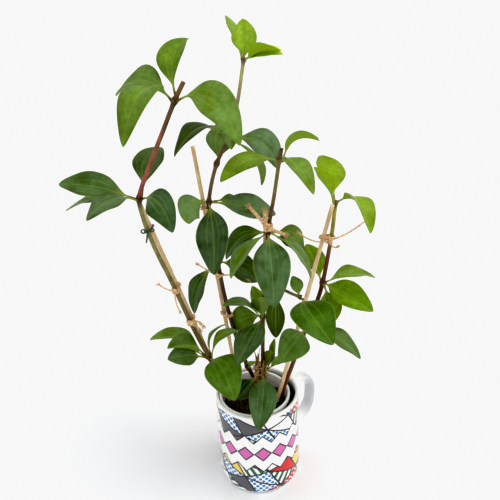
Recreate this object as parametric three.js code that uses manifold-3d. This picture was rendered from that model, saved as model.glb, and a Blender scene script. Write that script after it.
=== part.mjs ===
import * as THREE from 'three';
import { mergeVertices } from 'three/addons/utils/BufferGeometryUtils.js';
import Module from 'manifold-3d';

// A peperomia in its nursery pot, which stands in a handled mug. Millimetres, +Z up.
// The plant's numbers are measured from the mug's axis at the table: x right, y back, z up.
// The finished group is then moved, so that its origin is the bottom centre of its box.

const MUG = { radius: 41, height: 95, wall: 3, floor: 5.5, footInner: 31.5, footOuter: 36, footDepth: 1.5 };
const MUG_SIDES = 36;
const HANDLE = { azimuth: 37, reach: 77, width: 12.5, thickness: 8, top: 87, bottom: 26, sides: 8, steps: 14 };

const POT = { x: -2.3, y: -1, rimRadius: 35, footRadius: 25, top: 91, bottom: 5.9, wall: 1.3, lip: 1.8 };
const POT_SIDES = 28;
const DRAIN = { count: 6, radius: 3, ring: 15, depth: 6, sides: 6 };

const SOIL = { top: 82, bottom: 7.7, gap: 0.4, bump: 0.9, sides: 20, rings: 4 };

// clear space between pieces that touch, and the sizes that every leaf shares
const GAP = 0.4;
const LEAF = { thickness: 0.85, stalkRadius: 1.0, start: 2.6, baseHalf: 1.0, tipHalf: 0.6, sides: 6 };
const STALK_STATIONS = [0, 0.5];
const STATIONS = [0, 0.14, 0.32, 0.52, 0.72, 0.88, 1];
const COLLAR = { wall: 1.0, half: 2.2, sides: 8, holeReach: 15, holeSteps: 3 };
const STEM_SIDES = 8;
const STEM_STEPS = 2;

// Each stem is a smooth line through its points, thinner towards its tip.
const STEMS = {
  left: {
    radius: [2.1, 1.7],
    route: [
      [-22, -5, 52], [-24, -5, 84], [-44, -6, 141], [-54, -6, 168], [-66, -8, 208], [-72, -9, 228],
      [-78, -10, 246], [-83.5, -11, 266], [-87, -12, 284], [-88, -12, 299], [-76, -13, 326],
      [-63, -15, 351], [-51, -16, 374], [-43, -17, 387],
    ],
  },
  middle: {
    radius: [2.1, 1.5],
    route: [
      [8, 8, 52], [6, 8, 84], [-8, 7, 119], [-19, 9, 159], [-26, 11, 196], [-30, 14, 229], [-34, 14, 265],
      [-34, 14, 286], [-25, 16, 319], [-14, 18, 339], [-5, 20, 367], [2, 22, 401],
    ],
  },
  centre: {
    radius: [2.0, 1.5],
    route: [
      [5, 1, 52], [5, 1, 84], [7, 1, 116], [7.5, 1, 140], [9, 0, 178], [13, -1, 221], [16, -2, 261],
      [22, -3, 294], [27, -4, 324], [29, -4, 333],
    ],
  },
  right: {
    radius: [2.2, 1.7],
    route: [
      [22, 0, 52], [25, 0, 88], [36, -1, 125], [49, -2, 165], [60, -1, 195], [64, 0, 210], [69, 0, 240],
      [72, 0, 262], [74, 0, 286],
    ],
  },
  twig: {
    radius: [1.5, 1.3],
    route: [[13, -1, 221], [22, -8, 213], [32, -12, 208], [43, -14, 203]],
  },
};

// A leaf points the given way from its node: azimuth anticlockwise from +X, rise above level,
// reach from node to tip, and blade width. Its midrib bows up by a share of its length, and may
// sway sideways. The blade rolls and twists round the midrib, and its halves fold up.
function leaf(azimuth, rise, reach, width, shape = {}) {
  const plain = { bow: 0.1, sway: 0, roll: 0, twist: 0, fold: 16, petiole: 8 };
  return { ...plain, ...shape, azimuth, rise, reach, width };
}

// Each whorl sits on its stem at one of the route's points, counted from 0.
const WHORLS = [
  { name: 'leaves_left_low', stem: 'left', point: 2, leaves: [
    leaf(173, 17, 58, 26, { bow: 0.17, sway: -0.06, roll: -4, twist: 10, fold: 24 }),
    leaf(206, 30, 44, 30, { sway: -0.03, roll: 5, fold: 48, petiole: 9 }),
    leaf(204, 14, 40, 25, { bow: 0.07, sway: 0.01, roll: 26, fold: 15 }),
    leaf(297, -14, 56, 37, { bow: 0.19, sway: 0.01, roll: -17, twist: -13, fold: 26, petiole: 6 }),
    leaf(40, 50, 34, 14, { bow: 0.3, sway: 0.05, roll: 40, fold: 17, petiole: 6 }),
    leaf(0, 41, 40, 16, { bow: 0.2, roll: -12, twist: 11, fold: 22, petiole: 7 }),
  ] },
  { name: 'leaves_left_middle', stem: 'left', point: 9, leaves: [
    leaf(64, 44, 51, 30, { bow: 0.11, sway: -0.01, roll: -5, twist: -9, fold: 23, petiole: 12 }),
    leaf(181, 14, 64, 28, { bow: 0.06, sway: 0.01, roll: 33, twist: 13, petiole: 9 }),
    leaf(224, -7, 48, 26, { bow: 0.19, sway: 0.06, roll: 10, twist: -2, fold: 4 }),
    leaf(173, -8, 65, 26, { sway: 0.01, roll: 7, twist: -8, fold: 9 }),
    leaf(311, -22, 49, 25, { bow: 0.27, roll: -45, twist: 5, fold: 20 }),
  ] },
  { name: 'leaves_left_top', stem: 'left', point: 12, leaves: [
    leaf(67, 56, 52, 27, { bow: 0.21, sway: 0.05, roll: 6, twist: -5, fold: 27, petiole: 10 }),
    leaf(241, -21, 66, 27, { bow: 0.37, sway: 0.08, roll: 5, twist: 28, fold: 10 }),
    leaf(160, 5, 51, 28, { bow: 0.27, roll: 40, twist: -50, fold: 12, petiole: 6 }),
    leaf(320, -25, 68, 26, { bow: 0.28, sway: -0.03, roll: -55, fold: 15 }),
  ] },
  { name: 'leaves_middle_base', stem: 'middle', point: 2, leaves: [
    leaf(294, 45, 22, 10, { bow: 0, roll: 20, petiole: 6 }),
  ] },
  { name: 'leaves_middle_low', stem: 'middle', point: 5, leaves: [
    leaf(193, -62, 56, 25, { roll: 24, fold: 15 }),
    leaf(350, -11, 35, 22, { bow: 0.08, roll: -38, fold: 12, petiole: 4 }),
  ] },
  { name: 'leaves_middle', stem: 'middle', point: 7, leaves: [
    leaf(274, -47, 67, 30, { bow: 0.12, sway: 0.03, roll: -12, twist: -13, fold: 22, petiole: 7 }),
    leaf(155, -45, 32, 28, { bow: 0.25, sway: -0.03, roll: 85, fold: 14, petiole: 3 }),
    leaf(6, -15, 61, 29, { bow: 0.03, roll: -35, fold: 12, petiole: 7 }),
    leaf(32, -22, 46, 20, { bow: 0.12, sway: 0.01, roll: -20, fold: 15 }),
  ] },
  { name: 'leaves_middle_single', stem: 'middle', point: 8, leaves: [
    leaf(70, 50, 44, 29, { bow: 0.03, fold: 10, petiole: 4 }),
  ] },
  { name: 'leaves_middle_high', stem: 'middle', point: 9, leaves: [
    leaf(222, -6, 56, 28, { bow: 0.31, sway: 0.08, roll: 5, twist: -5, fold: 12, petiole: 4 }),
    leaf(345, -31, 49, 29, { bow: 0.25, sway: -0.06, roll: -35, fold: 15, petiole: 5 }),
    leaf(275, -5, 34, 18, { bow: 0.25, fold: 20 }),
    leaf(18, -57, 52, 26, { bow: 0.15, sway: -0.02, roll: -5, fold: 18 }),
  ] },
  { name: 'leaves_middle_top', stem: 'middle', point: 11, capped: true, leaves: [
    leaf(114, 46, 47, 14, { bow: 0.06, roll: -20, twist: -3, fold: 15 }),
    leaf(90, 80, 33, 24, { bow: 0.04, sway: -0.02, roll: 8, twist: 6, fold: 14, petiole: 4 }),
    leaf(325, 7, 35, 22, { bow: 0.08, sway: -0.03, roll: 5, fold: 30, petiole: 2 }),
  ] },
  { name: 'leaves_centre_base', stem: 'centre', point: 2, leaves: [
    leaf(262, -22, 60, 28, { bow: 0.12, sway: 0.05, roll: 8, fold: 23, petiole: 7 }),
    leaf(213, -32, 36, 25, { bow: 0.08, sway: 0.04, roll: -5, twist: 4, fold: 12, petiole: 10 }),
    leaf(343, 68, 26, 16, { bow: 0.08, roll: -31 }),
    leaf(30, 0, 36, 26, { roll: 20, fold: 12, petiole: 7 }),
    leaf(14, 70, 37, 15, { bow: -0.06, roll: -5, fold: 12 }),
  ] },
  { name: 'leaves_centre_low', stem: 'centre', point: 4, leaves: [
    leaf(242, -20, 56, 29, { bow: 0.09, sway: 0.04, roll: -7, twist: 7, fold: 12 }),
    leaf(140, -32, 42, 25, { bow: 0.12, roll: 45, fold: 12 }),
    leaf(200, 28, 43, 23, { bow: 0.18, fold: 15 }),
    leaf(250, 62, 28, 14, { bow: 0.05, fold: 30, petiole: 7 }),
    leaf(170, 65, 34, 20, { bow: 0.05, fold: 15 }),
  ] },
  { name: 'leaves_centre_high', stem: 'centre', point: 6, leaves: [
    leaf(130, -37, 57, 27, { bow: 0.15, roll: 58, fold: 12, petiole: 4 }),
    leaf(208, -41, 51, 24, { sway: 0.01, roll: -4, twist: 3, fold: 18, petiole: 9 }),
    leaf(271, -42, 68, 33, { bow: 0.15, fold: 24 }),
    leaf(24, -38, 45, 27, { bow: 0.15, sway: 0.01, roll: -48, twist: -2, fold: 14, petiole: 7 }),
    leaf(344, -47, 55, 24, { bow: 0.12, sway: 0.01, roll: 2, twist: -8, fold: 11 }),
    leaf(10, -35, 30, 16, { bow: 0, roll: -20, fold: 12 }),
  ] },
  { name: 'leaves_centre_top', stem: 'centre', point: 8, leaves: [
    leaf(215, -8, 58, 21, { bow: 0.14, roll: 24, fold: 12, petiole: 4 }),
    leaf(352, 25, 35, 24, { bow: 0.3, sway: -0.05, roll: 20, fold: 15, petiole: 5 }),
    leaf(294, -18, 55, 21, { bow: 0.23, sway: -0.06, roll: 5, twist: -11, fold: 14, petiole: 5 }),
  ] },
  { name: 'leaf_twig', stem: 'twig', point: 1, leaves: [
    leaf(257, -75, 48, 18, { bow: 0.05, fold: 15 }),
  ] },
  { name: 'leaves_twig_end', stem: 'twig', point: 3, capped: true, leaves: [
    leaf(288, -12, 61, 38, { bow: 0.13, sway: -0.1, roll: -11, fold: 19, petiole: 5 }),
    leaf(118, 50, 21, 14, { bow: 0.05, petiole: 2 }),
  ] },
  { name: 'leaves_right_low', stem: 'right', point: 3, leaves: [
    leaf(237, -7, 53, 30, { bow: 0.08, sway: 0.05, roll: 31, fold: 21, petiole: 7 }),
    leaf(347, -30, 59, 26, { bow: 0.12, sway: 0.01, roll: -8, twist: 3, fold: 8 }),
  ] },
  { name: 'leaves_right', stem: 'right', point: 5, leaves: [
    leaf(108, 38, 42, 23, { bow: 0.04, fold: 18, petiole: 5 }),
    leaf(14, -4, 53, 25, { bow: 0.11, sway: 0.01, roll: -4, twist: 8, fold: 20, petiole: 5 }),
    leaf(311, -9, 55, 26, { bow: 0.07, sway: -0.05, roll: -39, fold: 26, petiole: 2.5 }),
    leaf(280, -50, 38, 22, { bow: 0.15, fold: 20 }),
  ] },
  { name: 'leaves_right_top', stem: 'right', point: 8, capped: true, leaves: [
    leaf(102, 44, 47, 30, { sway: -0.02, roll: -17, twist: 13, petiole: 7 }),
    leaf(221, 51, 44, 16, { bow: 0.07, sway: 0.01, roll: -8, fold: 17 }),
    leaf(293, -16, 51, 26, { bow: 0.31, sway: 0.01, roll: 20, twist: -5, fold: 20, petiole: 6 }),
  ] },
];

// Split bamboo, straight from deep in the soil to its cut top.
const STAKE = { width: 3.6, depth: 2.4 };
const STAKES = {
  left: [[-15, 3, 40], [-91, -4, 296]],
  middle: [[-13, 9, 40], [-45, 24, 333]],
  centre: [[3, 14, 40], [15, 5, 279]],
  right: [[9, -2, 40], [70.5, -5, 284]],
};

// Each tie is a band round one stem and its stake at a height, with a knot in front. Its loose
// ends curve by a bend to a tip, both measured from the knot.
const TIES = [
  { name: 'wire_tie_left', stem: 'left', height: 271, band: [0.8, 0.9], knot: 1.3, wire: true, ends: [
    [[-1, 0, -5], [-2, -1, -9]], [[3, 0, 1], [4, -1, 4]],
  ] },
  { name: 'twine_left_middle', stem: 'left', height: 214, band: [0.9, 1.8], knot: 2.0, ends: [
    [[-8, 0, 2], [-14, 1, 7]], [[-2, -1, -9], [2, 0, -20]],
  ] },
  { name: 'twine_left_low', stem: 'left', height: 180, band: [0.9, 1.6], knot: 1.9, ends: [
    [[7, 0, 4], [10, 1, -3]], [[5, -1, 0], [7, 0, -6]],
  ] },
  { name: 'twine_middle_high', stem: 'middle', height: 278, band: [0.9, 1.6], knot: 1.8, ends: [
    [[-1, 0, -4], [-4, 0, -8]],
  ] },
  { name: 'twine_middle', stem: 'middle', height: 217, band: [0.9, 1.4], knot: 1.8, ends: [
    [[14, 0, 3], [28, -2, -5]], [[-10, 0, 7], [-18, 0, 13]],
  ] },
  { name: 'twine_middle_low', stem: 'middle', height: 176, band: [0.9, 1.5], knot: 1.8, ends: [
    [[-2, 0, -6], [1, 0, -13]],
  ] },
  { name: 'twine_centre', stem: 'centre', height: 267, band: [1.0, 1.9], knot: 2.8, ends: [
    [[-6, 1, 6], [-12, 2, 16]], [[-3, 1, 7], [-2, 2, 14]], [[5, -1, -1], [13, 0, -6]],
  ] },
  { name: 'twine_right', stem: 'right', height: 254, band: [1.0, 2.0], knot: 2.3, ends: [
    [[-12, 0, -4], [-25, 0, 8]], [[16, 0, 3], [31, -1, 17]], [[4, 0, -9], [8, 0, -6]],
  ] },
];
const BAND = { sides: 6, arcSteps: 4, stemReach: 2.1, stakeReach: 2.3, slack: 0.2 };
const KNOT = { clear: 2.5, wide: 1.2, flat: 0.8 };
const STRAND = { twine: 1.1, wire: 0.8, taper: 0.35, sides: 5, steps: 3 };

const COLOURS = {
  mug: 0xf2f1ef,
  pot: 0xe9e8e4,
  soil: 0x2b2019,
  leaf: 0x3f7a24,
  youngLeaf: 0x86b52a,
  stem: 0x6a4a35,
  stake: 0xcaa36c,
  twine: 0xb08a5a,
  wire: 0x3c4f3a,
};

const wasm = await Module();
wasm.setup();

const DEGREE = Math.PI / 180;
const UP = new THREE.Vector3(0, 0, 1);

function vector(list) {
  return new THREE.Vector3(list[0], list[1], list[2]);
}

// a closed geometry with its shared corners merged, as a solid that can be joined and cut
function solid(geometry) {
  const bare = geometry.clone();
  bare.deleteAttribute('normal');
  bare.deleteAttribute('uv');
  const merged = mergeVertices(bare, 1e-4);
  const vertProperties = new Float32Array(merged.attributes.position.array);
  const triVerts = new Uint32Array(merged.index.array);
  return new wasm.Manifold(new wasm.Mesh({ numProp: 3, vertProperties, triVerts }));
}

function geometryOf(body) {
  const mesh = body.getMesh();
  const geometry = new THREE.BufferGeometry();
  const stride = mesh.numProp;
  const count = mesh.vertProperties.length / stride;
  const positions = new Float32Array(count * 3);
  for (let i = 0; i < count; i += 1) {
    for (let k = 0; k < 3; k += 1) positions[3 * i + k] = mesh.vertProperties[stride * i + k];
  }
  geometry.setAttribute('position', new THREE.BufferAttribute(positions, 3));
  geometry.setIndex(new THREE.BufferAttribute(new Uint32Array(mesh.triVerts), 1));
  return geometry;
}

function joined(bodies) {
  return bodies.reduce((whole, body) => whole.add(body));
}

function geometryFrom(points, faces) {
  const geometry = new THREE.BufferGeometry();
  const positions = new Float32Array(points.flatMap((p) => [p.x, p.y, p.z]));
  geometry.setAttribute('position', new THREE.BufferAttribute(positions, 3));
  geometry.setIndex(faces.flat());
  return geometry;
}

// Rings of points, each anticlockwise round the way ahead, skinned and closed by a fan at each end.
function loft(rings) {
  const sides = rings[0].length;
  const points = rings.flat();
  const faces = [];
  for (let i = 0; i < rings.length - 1; i += 1) {
    for (let k = 0; k < sides; k += 1) {
      const a = i * sides + k;
      const b = i * sides + ((k + 1) % sides);
      faces.push([a, b, b + sides], [a, b + sides, a + sides]);
    }
  }
  const first = points.length;
  const middleOf = (corners) => corners.reduce((sum, p) => sum.add(p), new THREE.Vector3()).divideScalar(sides);
  points.push(middleOf(rings[0]), middleOf(rings[rings.length - 1]));
  const last = (rings.length - 1) * sides;
  for (let k = 0; k < sides; k += 1) {
    const next = (k + 1) % sides;
    faces.push([first, next, k], [first + 1, last + k, last + next]);
  }
  return geometryFrom(points, faces);
}

// one ring of a round section: centre, two directions across it, and the radius along each
function ring(centre, across, over, radii, sides) {
  const points = [];
  for (let k = 0; k < sides; k += 1) {
    const angle = (2 * Math.PI * k) / sides;
    const point = centre.clone().addScaledVector(across, radii[0] * Math.cos(angle));
    points.push(point.addScaledVector(over, radii[1] * Math.sin(angle)));
  }
  return points;
}

// two directions across a line that runs mainly upwards
function crossAxes(ahead) {
  const across = new THREE.Vector3(0, 1, 0).cross(ahead).normalize();
  const over = ahead.clone().cross(across);
  return [across, over];
}

const curves = {};
for (const [name, stem] of Object.entries(STEMS)) {
  curves[name] = new THREE.CatmullRomCurve3(stem.route.map(vector), false, 'centripetal');
}

function stemRadius(name, t) {
  const [low, high] = STEMS[name].radius;
  return low + (high - low) * t;
}

// a round tube along one stretch of a stem, with extra radius for a hole round it
function stemTube(name, from, to, steps, extra) {
  const rings = [];
  for (let i = 0; i <= steps; i += 1) {
    const t = from + ((to - from) * i) / steps;
    const centre = curves[name].getPoint(t);
    const ahead = curves[name].getTangent(t);
    const [across, over] = name === 'twig' ? twigAxes(ahead) : crossAxes(ahead);
    const radius = stemRadius(name, t) + extra;
    if (i === 0) centre.addScaledVector(ahead, -extra);
    if (i === steps) centre.addScaledVector(ahead, extra);
    rings.push(ring(centre, across, over, [radius, radius], STEM_SIDES));
  }
  return solid(loft(rings));
}

// the twig runs nearly level, so its cross directions start from the upright
function twigAxes(ahead) {
  const over = UP.clone().addScaledVector(ahead, -UP.dot(ahead)).normalize();
  return [over.clone().cross(ahead), over];
}

function stemBody(name, extra = 0) {
  const steps = (STEMS[name].route.length - 1) * STEM_STEPS;
  return stemTube(name, 0, 1, steps, extra);
}

function nodeShare(whorl) {
  return whorl.point / (STEMS[whorl.stem].route.length - 1);
}

// the midrib's point, way ahead and the blade's two directions at a share t of its length
function midrib(node, shape) {
  const azimuth = shape.azimuth * DEGREE;
  const rise = shape.rise * DEGREE;
  const out = new THREE.Vector3(Math.cos(azimuth), Math.sin(azimuth), 0);
  const side = new THREE.Vector3(-Math.sin(azimuth), Math.cos(azimuth), 0);
  const tip = node.clone();
  tip.addScaledVector(out, shape.reach * Math.cos(rise));
  tip.addScaledVector(UP, shape.reach * Math.sin(rise));
  const start = node.clone().addScaledVector(out, LEAF.start);
  const length = tip.distanceTo(start);
  const ahead = tip.clone().sub(start).divideScalar(length);
  const face = ahead.clone().cross(side).normalize();
  const level = face.clone().cross(ahead);
  const at = (t) => {
    const swell = 4 * length * t * (1 - t);
    const point = start.clone().addScaledVector(ahead, length * t);
    point.addScaledVector(face, shape.bow * swell);
    point.addScaledVector(level, shape.sway * swell);
    const slope = 4 * (1 - 2 * t);
    const way = ahead.clone().addScaledVector(face, shape.bow * slope);
    way.addScaledVector(level, shape.sway * slope).normalize();
    const normal = face.clone().addScaledVector(way, -face.dot(way)).normalize();
    const across = way.clone().cross(normal);
    const turn = (shape.roll + shape.twist * (t - 0.5)) * DEGREE;
    const turned = across.clone().multiplyScalar(Math.cos(turn)).addScaledVector(normal, Math.sin(turn));
    normal.multiplyScalar(Math.cos(turn)).addScaledVector(across, -Math.sin(turn));
    return { point, normal, across: turned };
  };
  return { at, length };
}

// half the blade's width at a share s of its length: widest half way, with a blunt drawn-out tip
function halfWidth(width, s) {
  const half = (width / 2) * Math.sin(Math.PI * s) ** (1.15 - 0.45 * s);
  const least = s < 0.5 ? LEAF.baseHalf : LEAF.tipHalf;
  return Math.max(half || 0, least);
}

// One leaf: a round stalk that widens into a folded blade, six points a section. Upper and
// lower faces are split into triangles alike, so that the thin blade stays even.
function leafBody(node, shape) {
  const line = midrib(node, shape);
  const from = shape.petiole / line.length;
  const fold = shape.fold * DEGREE;
  const points = [];
  for (const share of STALK_STATIONS) {
    const { point, normal, across } = line.at(share * from);
    const centre = point.addScaledVector(normal, -LEAF.thickness / 2);
    points.push(...ring(centre, normal, across, [LEAF.stalkRadius, LEAF.stalkRadius], LEAF.sides));
  }
  for (const s of STATIONS) {
    const { point, normal, across } = line.at(from + (1 - from) * s);
    const half = halfWidth(shape.width, s);
    const drop = normal.clone().multiplyScalar(-LEAF.thickness);
    const rise = normal.clone().multiplyScalar(half * Math.sin(fold));
    const one = point.clone().addScaledVector(across, half * Math.cos(fold)).add(rise);
    const other = point.clone().addScaledVector(across, -half * Math.cos(fold)).add(rise);
    const [oneUnder, pointUnder, otherUnder] = [one, point, other].map((p) => p.clone().add(drop));
    points.push(point, one, oneUnder, pointUnder, otherUnder, other);
  }
  const { sides } = LEAF;
  const lowerSides = [2, 3];
  const sections = STALK_STATIONS.length + STATIONS.length;
  const faces = [];
  for (let i = 0; i < sections - 1; i += 1) {
    for (let k = 0; k < sides; k += 1) {
      const a = i * sides + k;
      const b = i * sides + ((k + 1) % sides);
      if (lowerSides.includes(k)) faces.push([a, b, a + sides], [b, b + sides, a + sides]);
      else faces.push([a, b, b + sides], [a, b + sides, a + sides]);
    }
  }
  const end = (sections - 1) * sides;
  for (const [a, b, c] of [[0, 1, 2], [0, 2, 3], [3, 4, 5], [3, 5, 0]]) {
    faces.push([c, b, a], [end + a, end + b, end + c]);
  }
  return solid(geometryFrom(points, faces));
}

// the swollen node that carries a whorl: a short sleeve round the stem, closed over its tip if capped
function collar(whorl, share) {
  const node = curves[whorl.stem].getPoint(share);
  const ahead = curves[whorl.stem].getTangent(share);
  const inner = stemRadius(whorl.stem, share) + GAP;
  const outer = inner + COLLAR.wall;
  const top = whorl.capped ? COLLAR.half + COLLAR.wall : COLLAR.half;
  const profile = [
    new THREE.Vector2(0, -COLLAR.half),
    new THREE.Vector2(outer * 0.9, -COLLAR.half),
    new THREE.Vector2(outer, 0),
    new THREE.Vector2(outer * 0.9, top),
    new THREE.Vector2(0, top),
  ];
  const geometry = new THREE.LatheGeometry(profile, COLLAR.sides);
  const turn = new THREE.Quaternion().setFromUnitVectors(new THREE.Vector3(0, 1, 0), ahead);
  geometry.applyQuaternion(turn);
  geometry.translate(node.x, node.y, node.z);
  return solid(geometry);
}

// Leaves, stalks and sleeve in one body, with a clear hole for the stem.
function whorlBody(whorl) {
  const share = nodeShare(whorl);
  const node = curves[whorl.stem].getPoint(share);
  const bodies = [collar(whorl, share)];
  for (const shape of whorl.leaves) bodies.push(leafBody(node, shape));
  const reach = COLLAR.holeReach / curves[whorl.stem].getLength();
  const from = Math.max(0, share - reach);
  const to = Math.min(1, share + reach);
  return joined(bodies).subtract(stemTube(whorl.stem, from, to, COLLAR.holeSteps, GAP));
}

// The mug's wall, foot ring and inside, turned about its axis, with the handle joined on in the
// middle of a side.
function mugBody() {
  const { radius, height, wall, floor, footInner, footOuter, footDepth } = MUG;
  const inside = radius - wall;
  const profile = [
    [0, footDepth], [footInner, footDepth], [footInner + 0.8, 0], [footOuter, 0], [38.6, 1.2], [40.4, 3.8],
    [radius, 7.5], [radius, height - 2.5], [radius - 0.4, height - 0.9], [radius - 1.5, height],
    [inside + 0.5, height - 0.8], [inside, height - 2.4], [inside, floor + 4], [inside - 1.6, floor + 1.2],
    [inside - 5, floor], [0, floor],
  ].map(([x, y]) => new THREE.Vector2(x, y));
  const cup = new THREE.LatheGeometry(profile, MUG_SIDES);
  cup.rotateX(Math.PI / 2);
  cup.rotateZ(HANDLE.azimuth * DEGREE + Math.PI / MUG_SIDES);
  return solid(cup).add(handleBody());
}

// a C-shaped bar with an oval section, in the upright plane at the handle's azimuth
function handleBody() {
  const angle = HANDLE.azimuth * DEGREE;
  const out = new THREE.Vector3(Math.cos(angle), Math.sin(angle), 0);
  const side = new THREE.Vector3(-Math.sin(angle), Math.cos(angle), 0);
  const root = MUG.radius - MUG.wall / 2;
  const middle = HANDLE.reach - HANDLE.thickness / 2;
  const high = HANDLE.top - HANDLE.thickness / 2;
  const low = HANDLE.bottom + HANDLE.thickness / 2;
  const route = [
    [root, high - 2], [52, high], [64, high - 3], [middle - 1, high - 14], [middle, 56],
    [middle - 3, 42], [61, low + 3], [50, low], [root, low],
  ].map(([r, z]) => out.clone().multiplyScalar(r).addScaledVector(UP, z));
  const curve = new THREE.CatmullRomCurve3(route, false, 'centripetal');
  const rings = [];
  for (let i = 0; i <= HANDLE.steps; i += 1) {
    const t = i / HANDLE.steps;
    const ahead = curve.getTangent(t);
    const over = ahead.clone().cross(side);
    const radii = [HANDLE.width / 2, HANDLE.thickness / 2];
    rings.push(ring(curve.getPoint(t), side, over, radii, HANDLE.sides));
  }
  return solid(loft(rings));
}

// the pot's radius outside at a height: it tapers straight down to its foot
function potRadius(z) {
  const share = (z - POT.bottom) / (POT.top - POT.bottom);
  return POT.footRadius + (POT.rimRadius - POT.lip - POT.footRadius) * share;
}

// a thin tapered pot with a rolled lip and drain holes in its floor
function potBody() {
  const { rimRadius, top, bottom, wall, lip } = POT;
  const under = top - 5;
  const profile = [
    [0, bottom], [potRadius(bottom), bottom], [potRadius(under), under], [rimRadius - 0.5, under + 0.6],
    [rimRadius, under + 1.6], [rimRadius, top - 1], [rimRadius - 0.9, top], [rimRadius - lip + 0.2, top],
    [rimRadius - lip - wall + 0.6, top - 0.8], [potRadius(under) - wall, under],
    [potRadius(bottom) - wall, bottom + wall], [0, bottom + wall],
  ].map(([x, y]) => new THREE.Vector2(x, y));
  const shell = new THREE.LatheGeometry(profile, POT_SIDES);
  shell.rotateX(Math.PI / 2);
  let body = solid(shell);
  for (let i = 0; i < DRAIN.count; i += 1) {
    const angle = (2 * Math.PI * (i + 0.5)) / DRAIN.count;
    const hole = new THREE.CylinderGeometry(DRAIN.radius, DRAIN.radius, DRAIN.depth, DRAIN.sides);
    hole.rotateX(Math.PI / 2);
    hole.translate(DRAIN.ring * Math.cos(angle), DRAIN.ring * Math.sin(angle), bottom);
    body = body.subtract(solid(hole));
  }
  return body.translate([POT.x, POT.y, 0]);
}

// the potting mix: a plug that fills the pot, with a lumpy top and a hole for each stem and stake
function soilBody() {
  const { top, bottom, gap, bump, sides, rings } = SOIL;
  const lowRadius = potRadius(bottom) - POT.wall - gap;
  const topRadius = potRadius(top) - POT.wall - gap;
  const profile = [new THREE.Vector2(0, bottom), new THREE.Vector2(lowRadius, bottom)];
  for (let i = rings; i >= 0; i -= 1) profile.push(new THREE.Vector2((topRadius * i) / rings, top));
  const plug = new THREE.LatheGeometry(profile, sides);
  plug.rotateX(Math.PI / 2);
  const places = plug.attributes.position;
  for (let i = 0; i < places.count; i += 1) {
    const x = places.getX(i);
    const y = places.getY(i);
    const lump = bump * Math.sin(0.31 * x + 1) * Math.cos(0.27 * y);
    if (places.getZ(i) > top - 1) places.setZ(i, top + lump);
  }
  let body = solid(plug).translate([POT.x, POT.y, 0]);
  for (const name of Object.keys(STEMS)) {
    if (name !== 'twig') body = body.subtract(stemBody(name, GAP));
  }
  for (const name of Object.keys(STAKES)) body = body.subtract(stakeBody(name, GAP));
  return body;
}

function stakeCentre(name, height) {
  const [low, high] = STAKES[name].map(vector);
  return low.clone().lerp(high, (height - low.z) / (high.z - low.z));
}

// a straight strip with a rectangular section, and extra on every side for a hole round it
function stakeBody(name, extra = 0) {
  const [low, high] = STAKES[name].map(vector);
  const ahead = high.clone().sub(low).normalize();
  const [across, over] = crossAxes(ahead);
  const x = STAKE.width / 2 + extra;
  const y = STAKE.depth / 2 + extra;
  const corners = [[x, -y], [x, y], [-x, y], [-x, -y]];
  const ends = [low.clone().addScaledVector(ahead, -extra), high.clone().addScaledVector(ahead, extra)];
  const section = (end) => corners.map(([u, v]) => (
    end.clone().addScaledVector(across, u).addScaledVector(over, v)
  ));
  return solid(loft(ends.map(section)));
}

function shareAtHeight(name, height) {
  let low = 0;
  let high = 1;
  for (let i = 0; i < 30; i += 1) {
    const middle = (low + high) / 2;
    if (curves[name].getPoint(middle).z < height) low = middle;
    else high = middle;
  }
  return low;
}

// a closed tube round both stem and stake: half a circle round each, joined straight
function bandBody(stemAt, stakeAt, ahead, tie) {
  const apart = stakeAt.clone().sub(stemAt);
  apart.addScaledVector(ahead, -apart.dot(ahead));
  const along = apart.clone().normalize();
  const over = ahead.clone().cross(along);
  const [thick, high] = tie.band;
  const stations = [];
  const quarter = Math.PI / 2;
  const arcs = [
    [stemAt, quarter, BAND.stemReach],
    [stemAt.clone().add(apart), -quarter, BAND.stakeReach],
  ];
  for (const [centre, start, radius] of arcs) {
    for (let i = 0; i <= BAND.arcSteps; i += 1) {
      const angle = start + (Math.PI * i) / BAND.arcSteps;
      const outward = along.clone().multiplyScalar(Math.cos(angle)).addScaledVector(over, Math.sin(angle));
      const middle = centre.clone().addScaledVector(outward, radius + GAP + thick + BAND.slack);
      stations.push(ring(middle, outward, ahead.clone().negate(), [thick, high], BAND.sides));
    }
  }
  const count = stations.length;
  const faces = [];
  for (let i = 0; i < count; i += 1) {
    for (let k = 0; k < BAND.sides; k += 1) {
      const a = i * BAND.sides + k;
      const b = i * BAND.sides + ((k + 1) % BAND.sides);
      const step = (((i + 1) % count) - i) * BAND.sides;
      faces.push([a, b, b + step], [a, b + step, a + step]);
    }
  }
  return solid(geometryFrom(stations.flat(), faces));
}

// band, knot and loose ends of one tie, in front of the stem and the stake that it holds
function tieBody(tie) {
  const share = shareAtHeight(tie.stem, tie.height);
  const stemAt = curves[tie.stem].getPoint(share);
  const ahead = curves[tie.stem].getTangent(share);
  const stakeAt = stakeCentre(tie.stem, tie.height);
  const knotAt = stemAt.clone().lerp(stakeAt, 0.5);
  knotAt.y = Math.min(stemAt.y, stakeAt.y) - KNOT.clear - KNOT.flat * tie.knot;
  const knot = new THREE.DodecahedronGeometry(tie.knot, 0);
  knot.scale(KNOT.wide, KNOT.flat, 1);
  knot.translate(knotAt.x, knotAt.y, knotAt.z);
  const bodies = [bandBody(stemAt, stakeAt, ahead, tie), solid(knot)];
  const thickness = tie.wire ? STRAND.wire : STRAND.twine;
  for (const [bend, tip] of tie.ends) {
    const route = [knotAt, knotAt.clone().add(vector(bend)), knotAt.clone().add(vector(tip))];
    bodies.push(strand(route, thickness));
  }
  return joined(bodies);
}

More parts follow.
